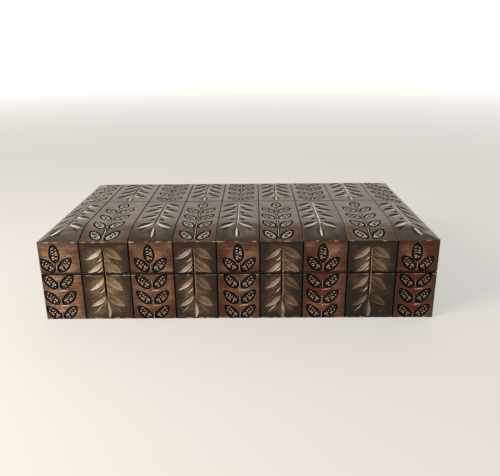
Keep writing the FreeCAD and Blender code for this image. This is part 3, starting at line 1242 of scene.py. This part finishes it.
def pair(tool: Tool, u: float, v: float, turn: float, length: float, wide: float = 1.0) -> list[Stroke]:
    """The same stroke to the right and to the left of the stem.

    Args:
        tool: The tool. A leaf to the right of a wall's stem is cut a little shallower, with its own tool,
            whose facets take a painted shade.
        u: Where it starts, to the right of the stem, in millimetres.
        v: Where it starts, above the foot, in millimetres.
        turn: Which way it runs, in degrees from straight up.
        length: How long it is, in millimetres.
        wide: Its width as a share of the tool's.

    Returns:
        Both strokes.
    """
    stroke = Stroke(tool, mm(u), mm(v), turn, mm(length) / tool.value.length, wide)
    # Right-hand wall leaves get the tool with painted shade.
    right = replace(stroke, tool=Tool.SHADE_SIDE_LEAF) if tool is Tool.LEAF else stroke
    return [right, stroke.mirrored()]


def line(tool: Tool, low: float, high: float, down: bool = False) -> Stroke:
    """A stroke along the stem.

    Args:
        tool: The tool.
        low: Its lower end above the foot, in millimetres.
        high: Its upper end, in millimetres.
        down: Whether it runs from the upper end to the lower.

    Returns:
        The stroke.
    """
    start, turn = (high, 180.0) if down else (low, 0.0)
    return Stroke(tool, 0.0, mm(start), turn, mm(high - low) / tool.value.length)


class Band(Enum):
    """Bands of fields: the one around the walls and the two rows on the lid's top."""

    AROUND = "around"
    FRONT_ROW = "front_row"
    BACK_ROW = "back_row"


class Sprig(Enum):
    """The two sprigs that alternate over the box."""

    STAMPED = "stamped"
    GOUGED = "gouged"

    def strokes(self, band: Band) -> list[Stroke]:
        """The sprig's strokes.

        Args:
            band: The band of fields that the sprig stands in.

        Returns:
            The strokes, in the order that they are cut.
        """
        if self is Sprig.STAMPED:
            return self._stamped_side() if band is Band.AROUND else self._stamped_top(band)
        return self._gouged_side() if band is Band.AROUND else self._gouged_top(band)

    @staticmethod
    def _stamped_side() -> list[Stroke]:
        """Four pairs of struck leaves and one at the tip.

        Returns:
            The strokes.
        """
        strokes = [Stroke(Tool.PUNCH, mm(-0.3), mm(39.8), -3, 1.0, 1.04)]
        for foot in (-0.3, 10.8, 21.9, 33.9):
            strokes += pair(Tool.PUNCH, 1.05, foot, 43, 14.2)
            strokes.append(line(Tool.STALK, foot + 0.6, foot + 6.6))
            strokes.append(Stroke(Tool.ARC, mm(-1.8), mm(foot - 1.0), 86))
        return strokes

    @staticmethod
    def _stamped_top(band: Band) -> list[Stroke]:
        """As on the sides, drawn out to fill the longer field.

        Args:
            band: The row on the lid.

        Returns:
            The strokes.
        """
        *feet, tip = (2.2, 16.2, 30.7, 44.7, 58.0) if band is Band.BACK_ROW else (1.4, 14.4, 29.4, 45.6, 58.6)
        strokes = [Stroke(Tool.LID_PUNCH, 0.0, mm(tip), 3, 1.1, 1.1)]
        for foot, length, turn in zip(feet, (14.8, 15.8, 16.8, 16.8), (38, 36, 34, 34)):
            strokes += pair(Tool.LID_PUNCH, 1.2, foot, turn, length)
        for low, high in zip(feet, (*feet[1:], tip)):
            strokes.append(line(Tool.LID_STALK, low - 0.6, high + 1.5))
        return strokes

    @staticmethod
    def _gouged_side() -> list[Stroke]:
        """A stem with four pairs of drooping leaves, short ticks between them and a bud at the foot.

        Returns:
            The strokes.
        """
        strokes = [line(Tool.STEM, 12.6, 52.2, down=True), line(Tool.BUD, 0.6, 13.4, down=True)]
        leaves = ((50.6, 13.6, 126), (41.2, 13.4, 129), (30.4, 14.0, 132), (16.8, 12.9, 126))
        ticks = ((44.2, 4.8, 129), (36.8, 4.8, 130), (23.0, 5.8, 138))
        for foot, length, turn in leaves:
            strokes += pair(Tool.LEAF, 1.0, foot, turn, length)
        for foot, length, turn in ticks:
            strokes += pair(Tool.TICK, 0.9, foot, turn, length)
        strokes += pair(Tool.TICK, 3.6, 10.8, 137, 8.7, 0.8)
        return strokes

    @staticmethod
    def _gouged_top(band: Band) -> list[Stroke]:
        """As on the sides, drawn out to fill the longer field, with a fifth pair in the back row.

        Args:
            band: The row on the lid.

        Returns:
            The strokes.
        """
        bud, feet, ticks = 4.8, (70.6, 57.2, 41.8, 24.4), (63.2, 49.2, 32.6)
        if band is Band.BACK_ROW:
            bud, feet, ticks = 1.8, (70.4, 58.1, 46.7, 33.3, 20.7), (64.0, 52.2, 39.8, 26.6)
        neck = bud + 11.6
        strokes = [line(Tool.LID_STEM, neck, 73.5, down=True), line(Tool.KNOB, bud, bud + 12.6, down=True)]
        for foot in feet:
            strokes += pair(Tool.LID_LEAF, 1.4, foot, 130, 13.7)
        for foot in ticks:
            strokes += pair(Tool.TICK, 1.1, foot, 136, 6.4, 1.7)
        strokes += pair(Tool.TICK, 4.6, neck, 128, 7.4, 0.8)
        return strokes


class Side(Enum):
    """The five decorated sides of the box, each with the direction that it faces."""

    FRONT = (0, -1, 0)
    BACK = (0, 1, 0)
    LEFT = (-1, 0, 0)
    RIGHT = (1, 0, 0)
    TOP = (0, 0, 1)

    def outward(self) -> Vector:
        """The direction that the side faces."""
        return Vector(self.value)

    def lee(self) -> Vector:
        """The direction along a wall, to the right as one looks at it; no direction for the top."""
        x, y, _ = self.value
        return Vector((-y, x, 0))

    def reach(self) -> float:
        """How far a wall's surface is from the middle of the box."""
        return BOX.half_depth if self in (Side.FRONT, Side.BACK) else BOX.half_length

    def place(self, u: float, v: float, w: float) -> Vector:
        """A point of the box's surface.

        Args:
            u: Distance to the right of the side's middle.
            v: Height above the floor, or on the top, distance back from the middle.
            w: Distance out of the surface.

        Returns:
            The point in the box's frame.
        """
        if self is Side.TOP:
            return Vector((u, v, BOX.crown_level(u, v) + w))
        return self.lee() * u + self.outward() * (self.reach() + w) + Vector((0, 0, v))

    def flat(self, point: Vector) -> Span:
        """The distances u and v of a point near the surface.

        Args:
            point: The point.

        Returns:
            The two distances.
        """
        if self is Side.TOP:
            return (point.x, point.y)
        return (point.dot(self.lee()), point.z)

    def depth(self, point: Vector) -> float:
        """How far a point lies under the surface.

        Args:
            point: The point.

        Returns:
            The depth, negative outside.
        """
        if self is Side.TOP:
            return BOX.crown_level(point.x, point.y) - point.z
        return self.reach() - point.dot(self.outward())


@dataclass(frozen=True)
class Field:
    """One ornament field: its limits on a side, its sprig, its tone, its number and how its sprig is set."""

    side: Side
    u_span: Span
    v_span: Span
    sprig: Sprig
    tone: float
    number: int
    shift: float = 0.0
    lean: float = 0.0

    def holds(self, u: float, v: float) -> bool:
        """Whether a place on the side lies in the field."""
        return self.u_span[0] <= u <= self.u_span[1] and self.v_span[0] <= v <= self.v_span[1]

    def band(self) -> Band:
        """The band that the field belongs to.

        Returns:
            The band.
        """
        if self.side is not Side.TOP:
            return Band.AROUND
        return Band.FRONT_ROW if self.v_span[0] < 0 else Band.BACK_ROW

    def shares(self, u: float, v: float) -> Span:
        """A place as shares of the field's width and height.

        Args:
            u: Distance to the right of the side's middle.
            v: Distance up or back, as the side has it.

        Returns:
            The shares, from 0 to 1 inside the field.
        """
        return (
            (u - self.u_span[0]) / (self.u_span[1] - self.u_span[0]),
            (v - self.v_span[0]) / (self.v_span[1] - self.v_span[0]),
        )


@dataclass
class Ornament:
    """The chequered fields of sprigs and the tools that carve them."""

    box: BoxSizes = BOX
    front_tones: tuple[float, ...] = (0.16, 0.1, 0.48, 0.45, 0.7, 0.88, 0.84, 0.9, 0.92)
    lid_tones: tuple[float, ...] = (0.03, 0.06, 0.3, 0.55, 0.45, 0.51, 0.57, 0.3, 0.48)
    hidden_tones: Span = (0.1, 0.9)
    tone_reach: Span = (0.0, 0.3)
    under_foot: float = mm(1)
    seed: int = 11
    drift: float = mm(0.6)
    wander: float = mm(0.18)
    sway: float = 2.5
    lid_uneven: float = 0.5
    front_shifts: tuple[float, ...] = (-2.3, -0.7, -1.2, -1.4, 0.2, 0.8, -1.1, -0.7, 0.3)
    lid_shifts: tuple[float, ...] = (0.0, -1.0, 0.0, 0.0, -1.3, -1.5, -2.0, -1.5, -1.4)
    corner_leans: Span = (34.0, -20.0)
    corner_spread: float = 1.3
    fill_margin: float = mm(0.8)
    fill_step: float = mm(2.5)
    fill_depth: float = mm(1.3)
    fill_shy: float = mm(0.04)
    fields: list[Field] = field(default_factory=list)

    def lay_out(self) -> None:
        """Divides each side into fields, so that the two sprigs take turns all the way round."""
        kinds = (Sprig.STAMPED, Sprig.GOUGED)
        tones = random.Random(self.seed)
        columns = self.box.column_edges()
        ends = self.box.side_edges()
        height = (-self.under_foot, self.box.arris)
        for side, edges, first in (
            (Side.FRONT, columns, 0),
            (Side.RIGHT, ends, 1),
            (Side.BACK, columns, 0),
            (Side.LEFT, ends, 1),
        ):
            for i, span in enumerate(zip(edges, edges[1:])):
                tone = self.front_tones[i] if side is Side.FRONT else tones.uniform(*self.hidden_tones)
                shift = mm(self.front_shifts[i]) if side is Side.FRONT else 0.0
                self._add(side, span, height, kinds[(i + first) % 2], tone, shift)
        depth = self.box.half_depth
        leans = {0: self.corner_leans[0], len(self.box.columns) - 1: self.corner_leans[1]}
        for row, limits in enumerate(((-depth, 0.0), (0.0, depth))):
            for i, span in enumerate(zip(columns, columns[1:])):
                tone = self.lid_tones[i] + tones.uniform(*self.tone_reach)
                shift = mm(self.lid_shifts[i]) if row == 0 else 0.0
                self._add(Side.TOP, span, limits, kinds[(i + 1 + row) % 2], tone, shift, leans.get(i, 0.0))

    def _add(
        self, side: Side, u: Span, v: Span, sprig: Sprig, tone: float, shift: float, lean: float = 0.0
    ) -> None:
        """Adds one field."""
        self.fields.append(Field(side, u, v, sprig, tone, len(self.fields), shift, lean))

    def field_at(self, side: Side, point: Vector) -> Field:
        """The field of a side that a point lies in or nearest to.

        Args:
            side: The side.
            point: The point.

        Returns:
            The field.
        """
        u, v = side.flat(point)
        own = [f for f in self.fields if f.side is side]
        for candidate in own:
            if candidate.holds(u, v):
                return candidate
        return min(own, key=lambda f: abs(u - sum(f.u_span) / 2) + abs(v - sum(f.v_span) / 2))

    def tools(self) -> dict[Tool, bpy.types.Object]:
        """One of each tool, made to be copied."""
        return {tool: tool.value.tool() for tool in Tool}

    def filling(self) -> bpy.types.Object:
        """Blocks that fill the plain leaves of the lid's solid, so that they can be carved in full.

        Returns:
            One block to a field, just shy of the surface, all joined into one object.
        """
        blocks = []
        for plot in (f for f in self.fields if f.side is Side.TOP):
            spans = [high - low - 2 * self.fill_margin for low, high in (plot.u_span, plot.v_span)]
            rows = [round(span / self.fill_step) for span in spans]
            bpy.ops.object.select_all(action="DESELECT")
            bpy.ops.mesh.primitive_grid_add(x_subdivisions=rows[0], y_subdivisions=rows[1], size=1.0)
            block = bpy.context.active_object
            with Bench(block) as bench:
                bench.everything()
                bpy.ops.transform.resize(value=(*spans, 1))
                middle = (sum(plot.u_span) / 2, sum(plot.v_span) / 2)
                bpy.ops.transform.translate(value=(*middle, -self.fill_depth))
                rise = (0, 0, self.fill_depth - self.fill_shy)
                bpy.ops.mesh.extrude_region_move(TRANSFORM_OT_translate={"value": rise})
                bench.everything()
                bpy.ops.mesh.normals_make_consistent(inside=False)
            for vertex in block.data.vertices:
                vertex.co = Side.TOP.place(*vertex.co)
            block.data.materials.append(Finish.BARE.value.material())
            blocks.append(block)
        return joined(blocks, "lid_filling")

    def carving(self, side: Side, tools: dict[Tool, bpy.types.Object]) -> list[bpy.types.Object]:
        """All the strokes on one side, a little uneven, as a hand leaves them.

        Args:
            side: The side.
            tools: The tools to copy.

        Returns:
            Volumes to cut away one after the other, none of which crosses itself.
        """
        uneven = self.lid_uneven if side is Side.TOP else 1.0
        hand = random.Random(self.seed + list(Side).index(side))
        leaves = (Tool.PUNCH, Tool.LID_PUNCH, Tool.LEAF, Tool.SHADE_SIDE_LEAF, Tool.LID_LEAF)
        lines = (Tool.STEM, Tool.LID_STEM, Tool.STALK, Tool.LID_STALK)
        layers: tuple[list[bpy.types.Object], ...] = ([], [], [])
        for plot in (f for f in self.fields if f.side is side):
            foot = plot.v_span[0] if side is Side.TOP else 0.0
            middle = sum(plot.u_span) / 2 + plot.shift + hand.uniform(-1, 1) * self.drift * uneven
            for stroke in plot.sprig.strokes(plot.band()):
                turn, wide = stroke.turn, stroke.wide
                if stroke.tool in leaves:
                    turn += hand.uniform(-1, 1) * self.sway * uneven
                if stroke.tool is Tool.KNOB and plot.lean:
                    turn += plot.lean
                    wide *= self.corner_spread
                rise = foot + stroke.v + hand.uniform(-1, 1) * self.wander * uneven
                place = Matrix.Translation((middle + stroke.u, rise, 0))
                shape = place @ Matrix.Rotation(math.radians(-turn), 4, "Z")
                copy = bpy.data.objects.new(f"{stroke.tool.value.name}_cut", tools[stroke.tool].data.copy())
                bpy.context.scene.collection.objects.link(copy)
                copy.data.transform(shape @ Matrix.Diagonal((wide, stroke.long, 1, 1)))
                if stroke.wide < 0:
                    copy.data.flip_normals()
                for vertex in copy.data.vertices:
                    vertex.co = side.place(*vertex.co)
                layers[0 if stroke.tool in leaves else 1 if stroke.tool in lines else 2].append(copy)
        return [joined(copies, f"{side.name.lower()}_carving") for copies in layers if copies]


@dataclass
class Board:
    """One carved board of the box, which stands for its plain solid."""

    node: str
    body: str
    sides: tuple[Side, ...]
    number: int
    crosswise: bool = False
    arris_round: float = mm(0.35)
    shortest_arris: float = mm(3)
    smooth_angle: float = math.radians(22)
    lee_shade_facing: float = 0.04
    board_seed: float = 3.7
    field_seed: float = 0.9
    top_facing: float = 0.3
    top_depth: float = mm(2)
    brim_reach: float = mm(0.01)
    level_facing: float = 0.9
    level_depth: float = mm(0.5)
    skin_facing: float = -0.1
    skin_depth: float = mm(0.12)
    groove_facing: float = 0.2
    groove_depth: float = mm(0.9)
    eased_reach: float = mm(0.4)
    lit_tilt: float = -0.4
    box: BoxSizes = BOX

    def rough_out(self) -> bpy.types.Object:
        """A clean copy of the plain board with its outer edges eased.

        Returns:
            The piece before carving.
        """
        piece = copy_of(self.node, "carved", Finish.BARE)
        with Bench(piece) as bench:
            if bench.pick(Pick.EDGES, self._is_arris):
                bpy.ops.mesh.bevel(offset=self.arris_round, segments=2, affect="EDGES")
        return piece

    def _is_arris(self, first: Vector, second: Vector) -> bool:
        """Tells an edge that hands rub: the lid's brim or the box's foot.

        Args:
            first: One end of the edge.
            second: Its other end.

        Returns:
            Whether it is eased.
        """
        outer = all(
            abs(abs(p.x) - self.box.half_length) < NEAR or abs(abs(p.y) - self.box.half_depth) < NEAR
            for p in (first, second)
        )
        levels = [abs(first.z - z) < NEAR and abs(second.z - z) < NEAR for z in (0.0, self.box.arris)]
        return outer and any(levels) and (first - second).length > self.shortest_arris

    def carve(
        self, filling: bpy.types.Object, volumes: dict[Side, list[bpy.types.Object]]
    ) -> bpy.types.Object:
        """Cuts the ornament.

        Args:
            filling: Blocks that fill the plain leaves of the lid's solid.
            volumes: The carving of each side.

        Returns:
            The carved board.
        """
        piece = self.rough_out()
        if Side.TOP in self.sides:
            Joining.FILL.work(piece, filling)
        for side in self.sides:
            for volume in volumes[side]:
                Joining.CUT.work(piece, volume)
        return piece

    def dress(self, piece: bpy.types.Object, ornament: Ornament) -> None:
        """Gives each face its finish, and what the finishes read from the mesh.

        Args:
            piece: The carved board.
            ornament: The fields.
        """
        mesh = piece.data
        slots = {material.name: i for i, material in enumerate(mesh.materials)}
        for finish in (
            Finish.WARM_FIELD, Finish.DARK_FIELD, Finish.LID_FIELD, Finish.LID_DARK,
            Finish.SCORED, Finish.GOUGED, Finish.STAMPED, Finish.CREST,
        ):
            material = finish.value.material()
            if material.name not in slots:
                mesh.materials.append(material)
                slots[material.name] = len(mesh.materials) - 1
        marks: dict[str, list[float]] = {"board": [], "crosswise": [], "tone": []}
        chart = mesh.uv_layers.new(name="field")
        bare = slots[Finish.BARE.value.name]
        struck, crest = (slots[kind.value.name] for kind in (Finish.STAMPED, Finish.CREST))
        for face in mesh.polygons:
            side = self._side_of(face)
            plot = ornament.field_at(side, face.center)
            if face.material_index == bare:
                face.material_index = slots[self._finish_of(face, side, plot).value.name]
            # Painted shade: light crest faces that face away from the lamp take the dark stamped finish.
            elif face.material_index == crest and face.normal.dot(side.lee()) > self.lee_shade_facing:
                face.material_index = struck
            marks["board"].append(self.number * self.board_seed + self.field_seed * plot.number)
            marks["crosswise"].append(float(self.crosswise))
            marks["tone"].append(plot.tone)
            for corner in face.loop_indices:
                point = mesh.vertices[mesh.loops[corner].vertex_index].co
                chart.data[corner].uv = plot.shares(*side.flat(point))
        for name, values in marks.items():
            mesh.attributes.new(name, "FLOAT", "FACE").data.foreach_set("value", values)
        focus(piece)
        bpy.ops.object.shade_smooth_by_angle(angle=self.smooth_angle)
        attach(piece, self.body)
        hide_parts(self.node)

    def _side_of(self, face: bpy.types.MeshPolygon) -> Side:
        """The side of the box that a face belongs to, by its place.

        Args:
            face: The face.

        Returns:
            The side.
        """
        if Side.TOP not in self.sides:
            return self.sides[0]
        centre = face.center
        gaps = {side: side.depth(centre) for side in Side if side is not Side.TOP}
        upward = face.normal.z > self.top_facing or min(gaps.values()) > self.top_depth
        on_top = upward and Side.TOP.depth(centre) < self.top_depth
        if on_top or centre.z > self.box.arris - self.brim_reach:
            return Side.TOP
        return min(gaps, key=gaps.get)

    def _finish_of(self, face: bpy.types.MeshPolygon, side: Side, plot: Field) -> Finish:
        """The finish of a face that no tool cut.

        Args:
            face: The face.
            side: The side that it belongs to.
            plot: The field that it lies in.

        Returns:
            Stain on the surface; on the walls of the scored lines a painted shadow, but on the lid's walls
            that face the lamp the gouged wood's colour; bare wood elsewhere.
        """
        warm, dark = Finish.WARM_FIELD, Finish.DARK_FIELD
        if side is Side.TOP:
            warm, dark = Finish.LID_FIELD, Finish.LID_DARK
        ground = warm if plot.sprig is Sprig.STAMPED else dark
        height = face.center.z
        facing = face.normal.dot(side.outward())
        depth = side.depth(face.center)
        level = facing > self.level_facing and depth < self.level_depth
        if level or facing > self.skin_facing and depth < self.skin_depth:
            return ground
        eased = abs(height - self.box.arris) < self.eased_reach or height < self.eased_reach
        if eased and facing > self.groove_facing and depth < self.eased_reach:
            return ground
        # Painted light: groove walls get a near-black painted shadow, except the lid's walls that face the
        # lamp.
        if facing > self.groove_facing and depth < self.groove_depth:
            lit = side is Side.TOP and face.normal.x < self.lit_tilt
            return Finish.GOUGED if lit else Finish.SCORED
        return Finish.BARE


@dataclass
class CarvedBox:
    """The base and the lid as nine carved boards."""

    ornament: Ornament = field(default_factory=Ornament)

    def boards(self) -> list[Board]:
        """Every board, with the sides of the box that it shows.

        Returns:
            The walls, the lid's rails and its panel.
        """
        walls = [side for side in Side if side is not Side.TOP]
        found = []
        for kind, body in (("wall", "base"), ("rail", "lid")):
            for side in walls:
                crosswise = side in (Side.LEFT, Side.RIGHT)
                node = f"{body}_{side.name.lower()}_{kind}"
                found.append(Board(node, body, (side,), len(found), crosswise))
        found.append(Board("lid_panel", "lid", (*walls, Side.TOP), len(found)))
        return found

    def build(self) -> None:
        """Makes the tools, carves every board and clears the tools away."""
        self.ornament.lay_out()
        tools = self.ornament.tools()
        filling = self.ornament.filling()
        volumes = {side: self.ornament.carving(side, tools) for side in Side}
        for board in self.boards():
            piece = board.carve(filling, volumes)
            board.dress(piece, self.ornament)
            log.info("%s: %d faces", piece.name, len(piece.data.polygons))
        for spare in [*tools.values(), filling, *(v for group in volumes.values() for v in group)]:
            bpy.data.objects.remove(spare)


@dataclass
class Fittings:
    """Hinges, nails and the bottom, which keep their own shapes and get finishes."""

    smooth_angle: float = math.radians(35)
    finishes: dict[str, Finish] = field(default_factory=lambda: {
        "leaf": Finish.BRASS,
        "screws": Finish.BRASS,
        "pin": Finish.STEEL,
        "brads": Finish.STEEL,
        "panel": Finish.PLY,
    })

    def build(self) -> None:
        """Dresses every plain node that no board replaces."""
        record = frame["record"]["behaviour"]["bodies"]
        bodies = {node: body for body, nodes in record.items() for node in nodes}
        slots = {entry["node"]: entry["material_slot"] for entry in frame["record"]["subparts"]}
        for node in frame["nodes"]:
            ending = node.rsplit("_", 1)[-1]
            if node != "lid_panel" and ending in self.finishes:
                self._dress(node, bodies[node], slots[node], self.finishes[ending])

    def _dress(self, node: str, body: str, slot: str, finish: Finish) -> None:
        """Stands a smooth copy of a fitting in its place.

        Args:
            node: The fitting's name.
            body: The body that it moves with.
            slot: The fitting's material slot; not used.
            finish: Its finish.
        """
        piece = copy_of(node, "finished", finish)
        bpy.ops.object.shade_smooth_by_angle(angle=self.smooth_angle)
        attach(piece, body)
        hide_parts(node)
        log.info("%s: %s", piece.name, finish.name.lower())


@dataclass
class Studio:
    """A pale floor, soft light and the camera."""

    lens: float = 39.26
    eye: tuple[float, float, float] = (mm(10.62), mm(-407.78), mm(171.48))
    pitch: float = math.radians(19.109)
    yaw: float = math.radians(-0.494)
    roll: float = math.radians(0.536)
    floor_size: float = 12.0
    floor_colour: Colour = tint(168, 158, 146)
    floor_roughness: float = 0.8
    floor_glow: Span = (0.46, 1.0)
    floor_reach: Span = (0.3, 3.2)
    glow_colour: Colour = tint(255, 253, 250)
    sky_colour: Colour = tint(255, 255, 255)
    sky_levels: Span = (0.24, 0.42)
    rear_level: float = 1.0
    rear_turn: float = math.radians(24)
    rear_reach: Span = (0.3, 1.0)
    sheen: Colour = tint(255, 246, 234)
    sheen_levels: Span = (0.1, 1.0)
    sheen_reach: Span = (0.28, 1.0)
    key_place: tuple[float, float, float] = (-0.5, -0.4, 0.36)
    key_aim: float = mm(30)
    key_size: float = 0.32
    key_power: float = 5.0

    def build(self) -> None:
        """Sets up floor, light and camera."""
        self._floor()
        self._sky()
        self._lamp()
        self._camera()
        bpy.context.scene.view_settings.view_transform = "Standard"

    def _floor(self) -> None:
        """A wide plain floor that takes the box's shadow and looks paler far away."""
        bpy.ops.object.select_all(action="DESELECT")
        bpy.ops.mesh.primitive_plane_add(size=self.floor_size, location=(0, 0, 0))
        floor = bpy.context.active_object
        floor.name = "studio_floor"
        material = bpy.data.materials.new("pale_floor")
        material.use_nodes = True
        shader = material.node_tree.nodes["Principled BSDF"]
        bench = NodeBench(material.node_tree)
        rays = bench.add("LightPath")
        seen = bench.math("MAXIMUM", rays.outputs["Is Camera Ray"], rays.outputs["Is Glossy Ray"])
        seen = bench.math("MAXIMUM", seen, rays.outputs["Is Transmission Ray"])
        across = bench.add("VectorMath", operation="LENGTH")
        bench.feed(across.inputs[0], bench.add("TexCoord").outputs["Object"])
        glow = bench.fade(across.outputs["Value"], *self.floor_reach, *self.floor_glow)
        bench.feed(shader.inputs["Emission Strength"], bench.math("MULTIPLY", seen, glow))
        shader.inputs["Base Color"].default_value = self.floor_colour
        shader.inputs["Emission Color"].default_value = self.glow_colour
        shader.inputs["Roughness"].default_value = self.floor_roughness
        floor.data.materials.append(material)

    def _sky(self) -> None:
        """A white surround that lights softly, more from behind the box, and reflects dimly in front."""
        world = bpy.data.worlds.new("studio_surround")
        bpy.context.scene.world = world
        world.use_nodes = True
        bench = NodeBench(world.node_tree)
        rays = bench.add("LightPath")
        side, back, _ = bench.split(bench.add("TexCoord").outputs["Generated"])
        mirrored = bench.fade(back, *self.sheen_reach, *self.sheen_levels)
        shiny = bench.math("MAXIMUM", rays.outputs["Is Glossy Ray"], rays.outputs["Is Transmission Ray"])
        around = bench.fade(back, -1.0, 1.0, *self.sky_levels)
        turned = bench.math("MULTIPLY", side, math.sin(self.rear_turn))
        rear = bench.math("ADD", turned, bench.math("MULTIPLY", back, math.cos(self.rear_turn)))
        around = bench.math("ADD", around, bench.fade(rear, *self.rear_reach, 0.0, self.rear_level))
        soft = bench.math("MULTIPLY", bench.math("SUBTRACT", 1.0, shiny), around)
        level = bench.math("ADD", soft, bench.math("MULTIPLY", shiny, mirrored))
        level = bench.math("MAXIMUM", level, rays.outputs["Is Camera Ray"])
        shade = world.node_tree.nodes["Background"]
        bench.feed(shade.inputs["Color"], bench.blend(shiny, self.sky_colour, self.sheen))
        bench.feed(shade.inputs["Strength"], level)

    def _lamp(self) -> None:
        """A soft square lamp that points at the box."""
        data = bpy.data.lights.new("key", "AREA")
        data.size = self.key_size
        data.energy = self.key_power
        lamp = bpy.data.objects.new("key", data)
        bpy.context.scene.collection.objects.link(lamp)
        lamp.visible_camera = False
        lamp.location = self.key_place
        aim = Vector((0, 0, self.key_aim)) - Vector(self.key_place)
        lamp.rotation_euler = aim.to_track_quat("-Z", "Y").to_euler()

    def _camera(self) -> None:
        """The camera at the angle of the picture."""
        data = bpy.data.cameras.new("camera")
        data.lens = self.lens
        camera = bpy.data.objects.new("camera", data)
        bpy.context.scene.collection.objects.link(camera)
        ahead = Vector((
            math.sin(self.yaw) * math.cos(self.pitch),
            math.cos(self.yaw) * math.cos(self.pitch),
            -math.sin(self.pitch),
        ))
        level = Vector((math.cos(self.yaw), -math.sin(self.yaw), 0))
        down = ahead.cross(level)
        right = math.cos(self.roll) * level + math.sin(self.roll) * down
        below = -math.sin(self.roll) * level + math.cos(self.roll) * down
        turn = Matrix((right, -below, -ahead)).transposed()
        camera.matrix_world = Matrix.Translation(self.eye) @ turn.to_4x4()
        bpy.context.scene.camera = camera


def main() -> None:
    """Builds the box, its fittings and the studio."""
    logging.basicConfig(level=logging.INFO, format="%(name)s %(message)s")
    CarvedBox().build()
    Fittings().build()
    Studio().build()


if __name__ == "__main__":
    main()
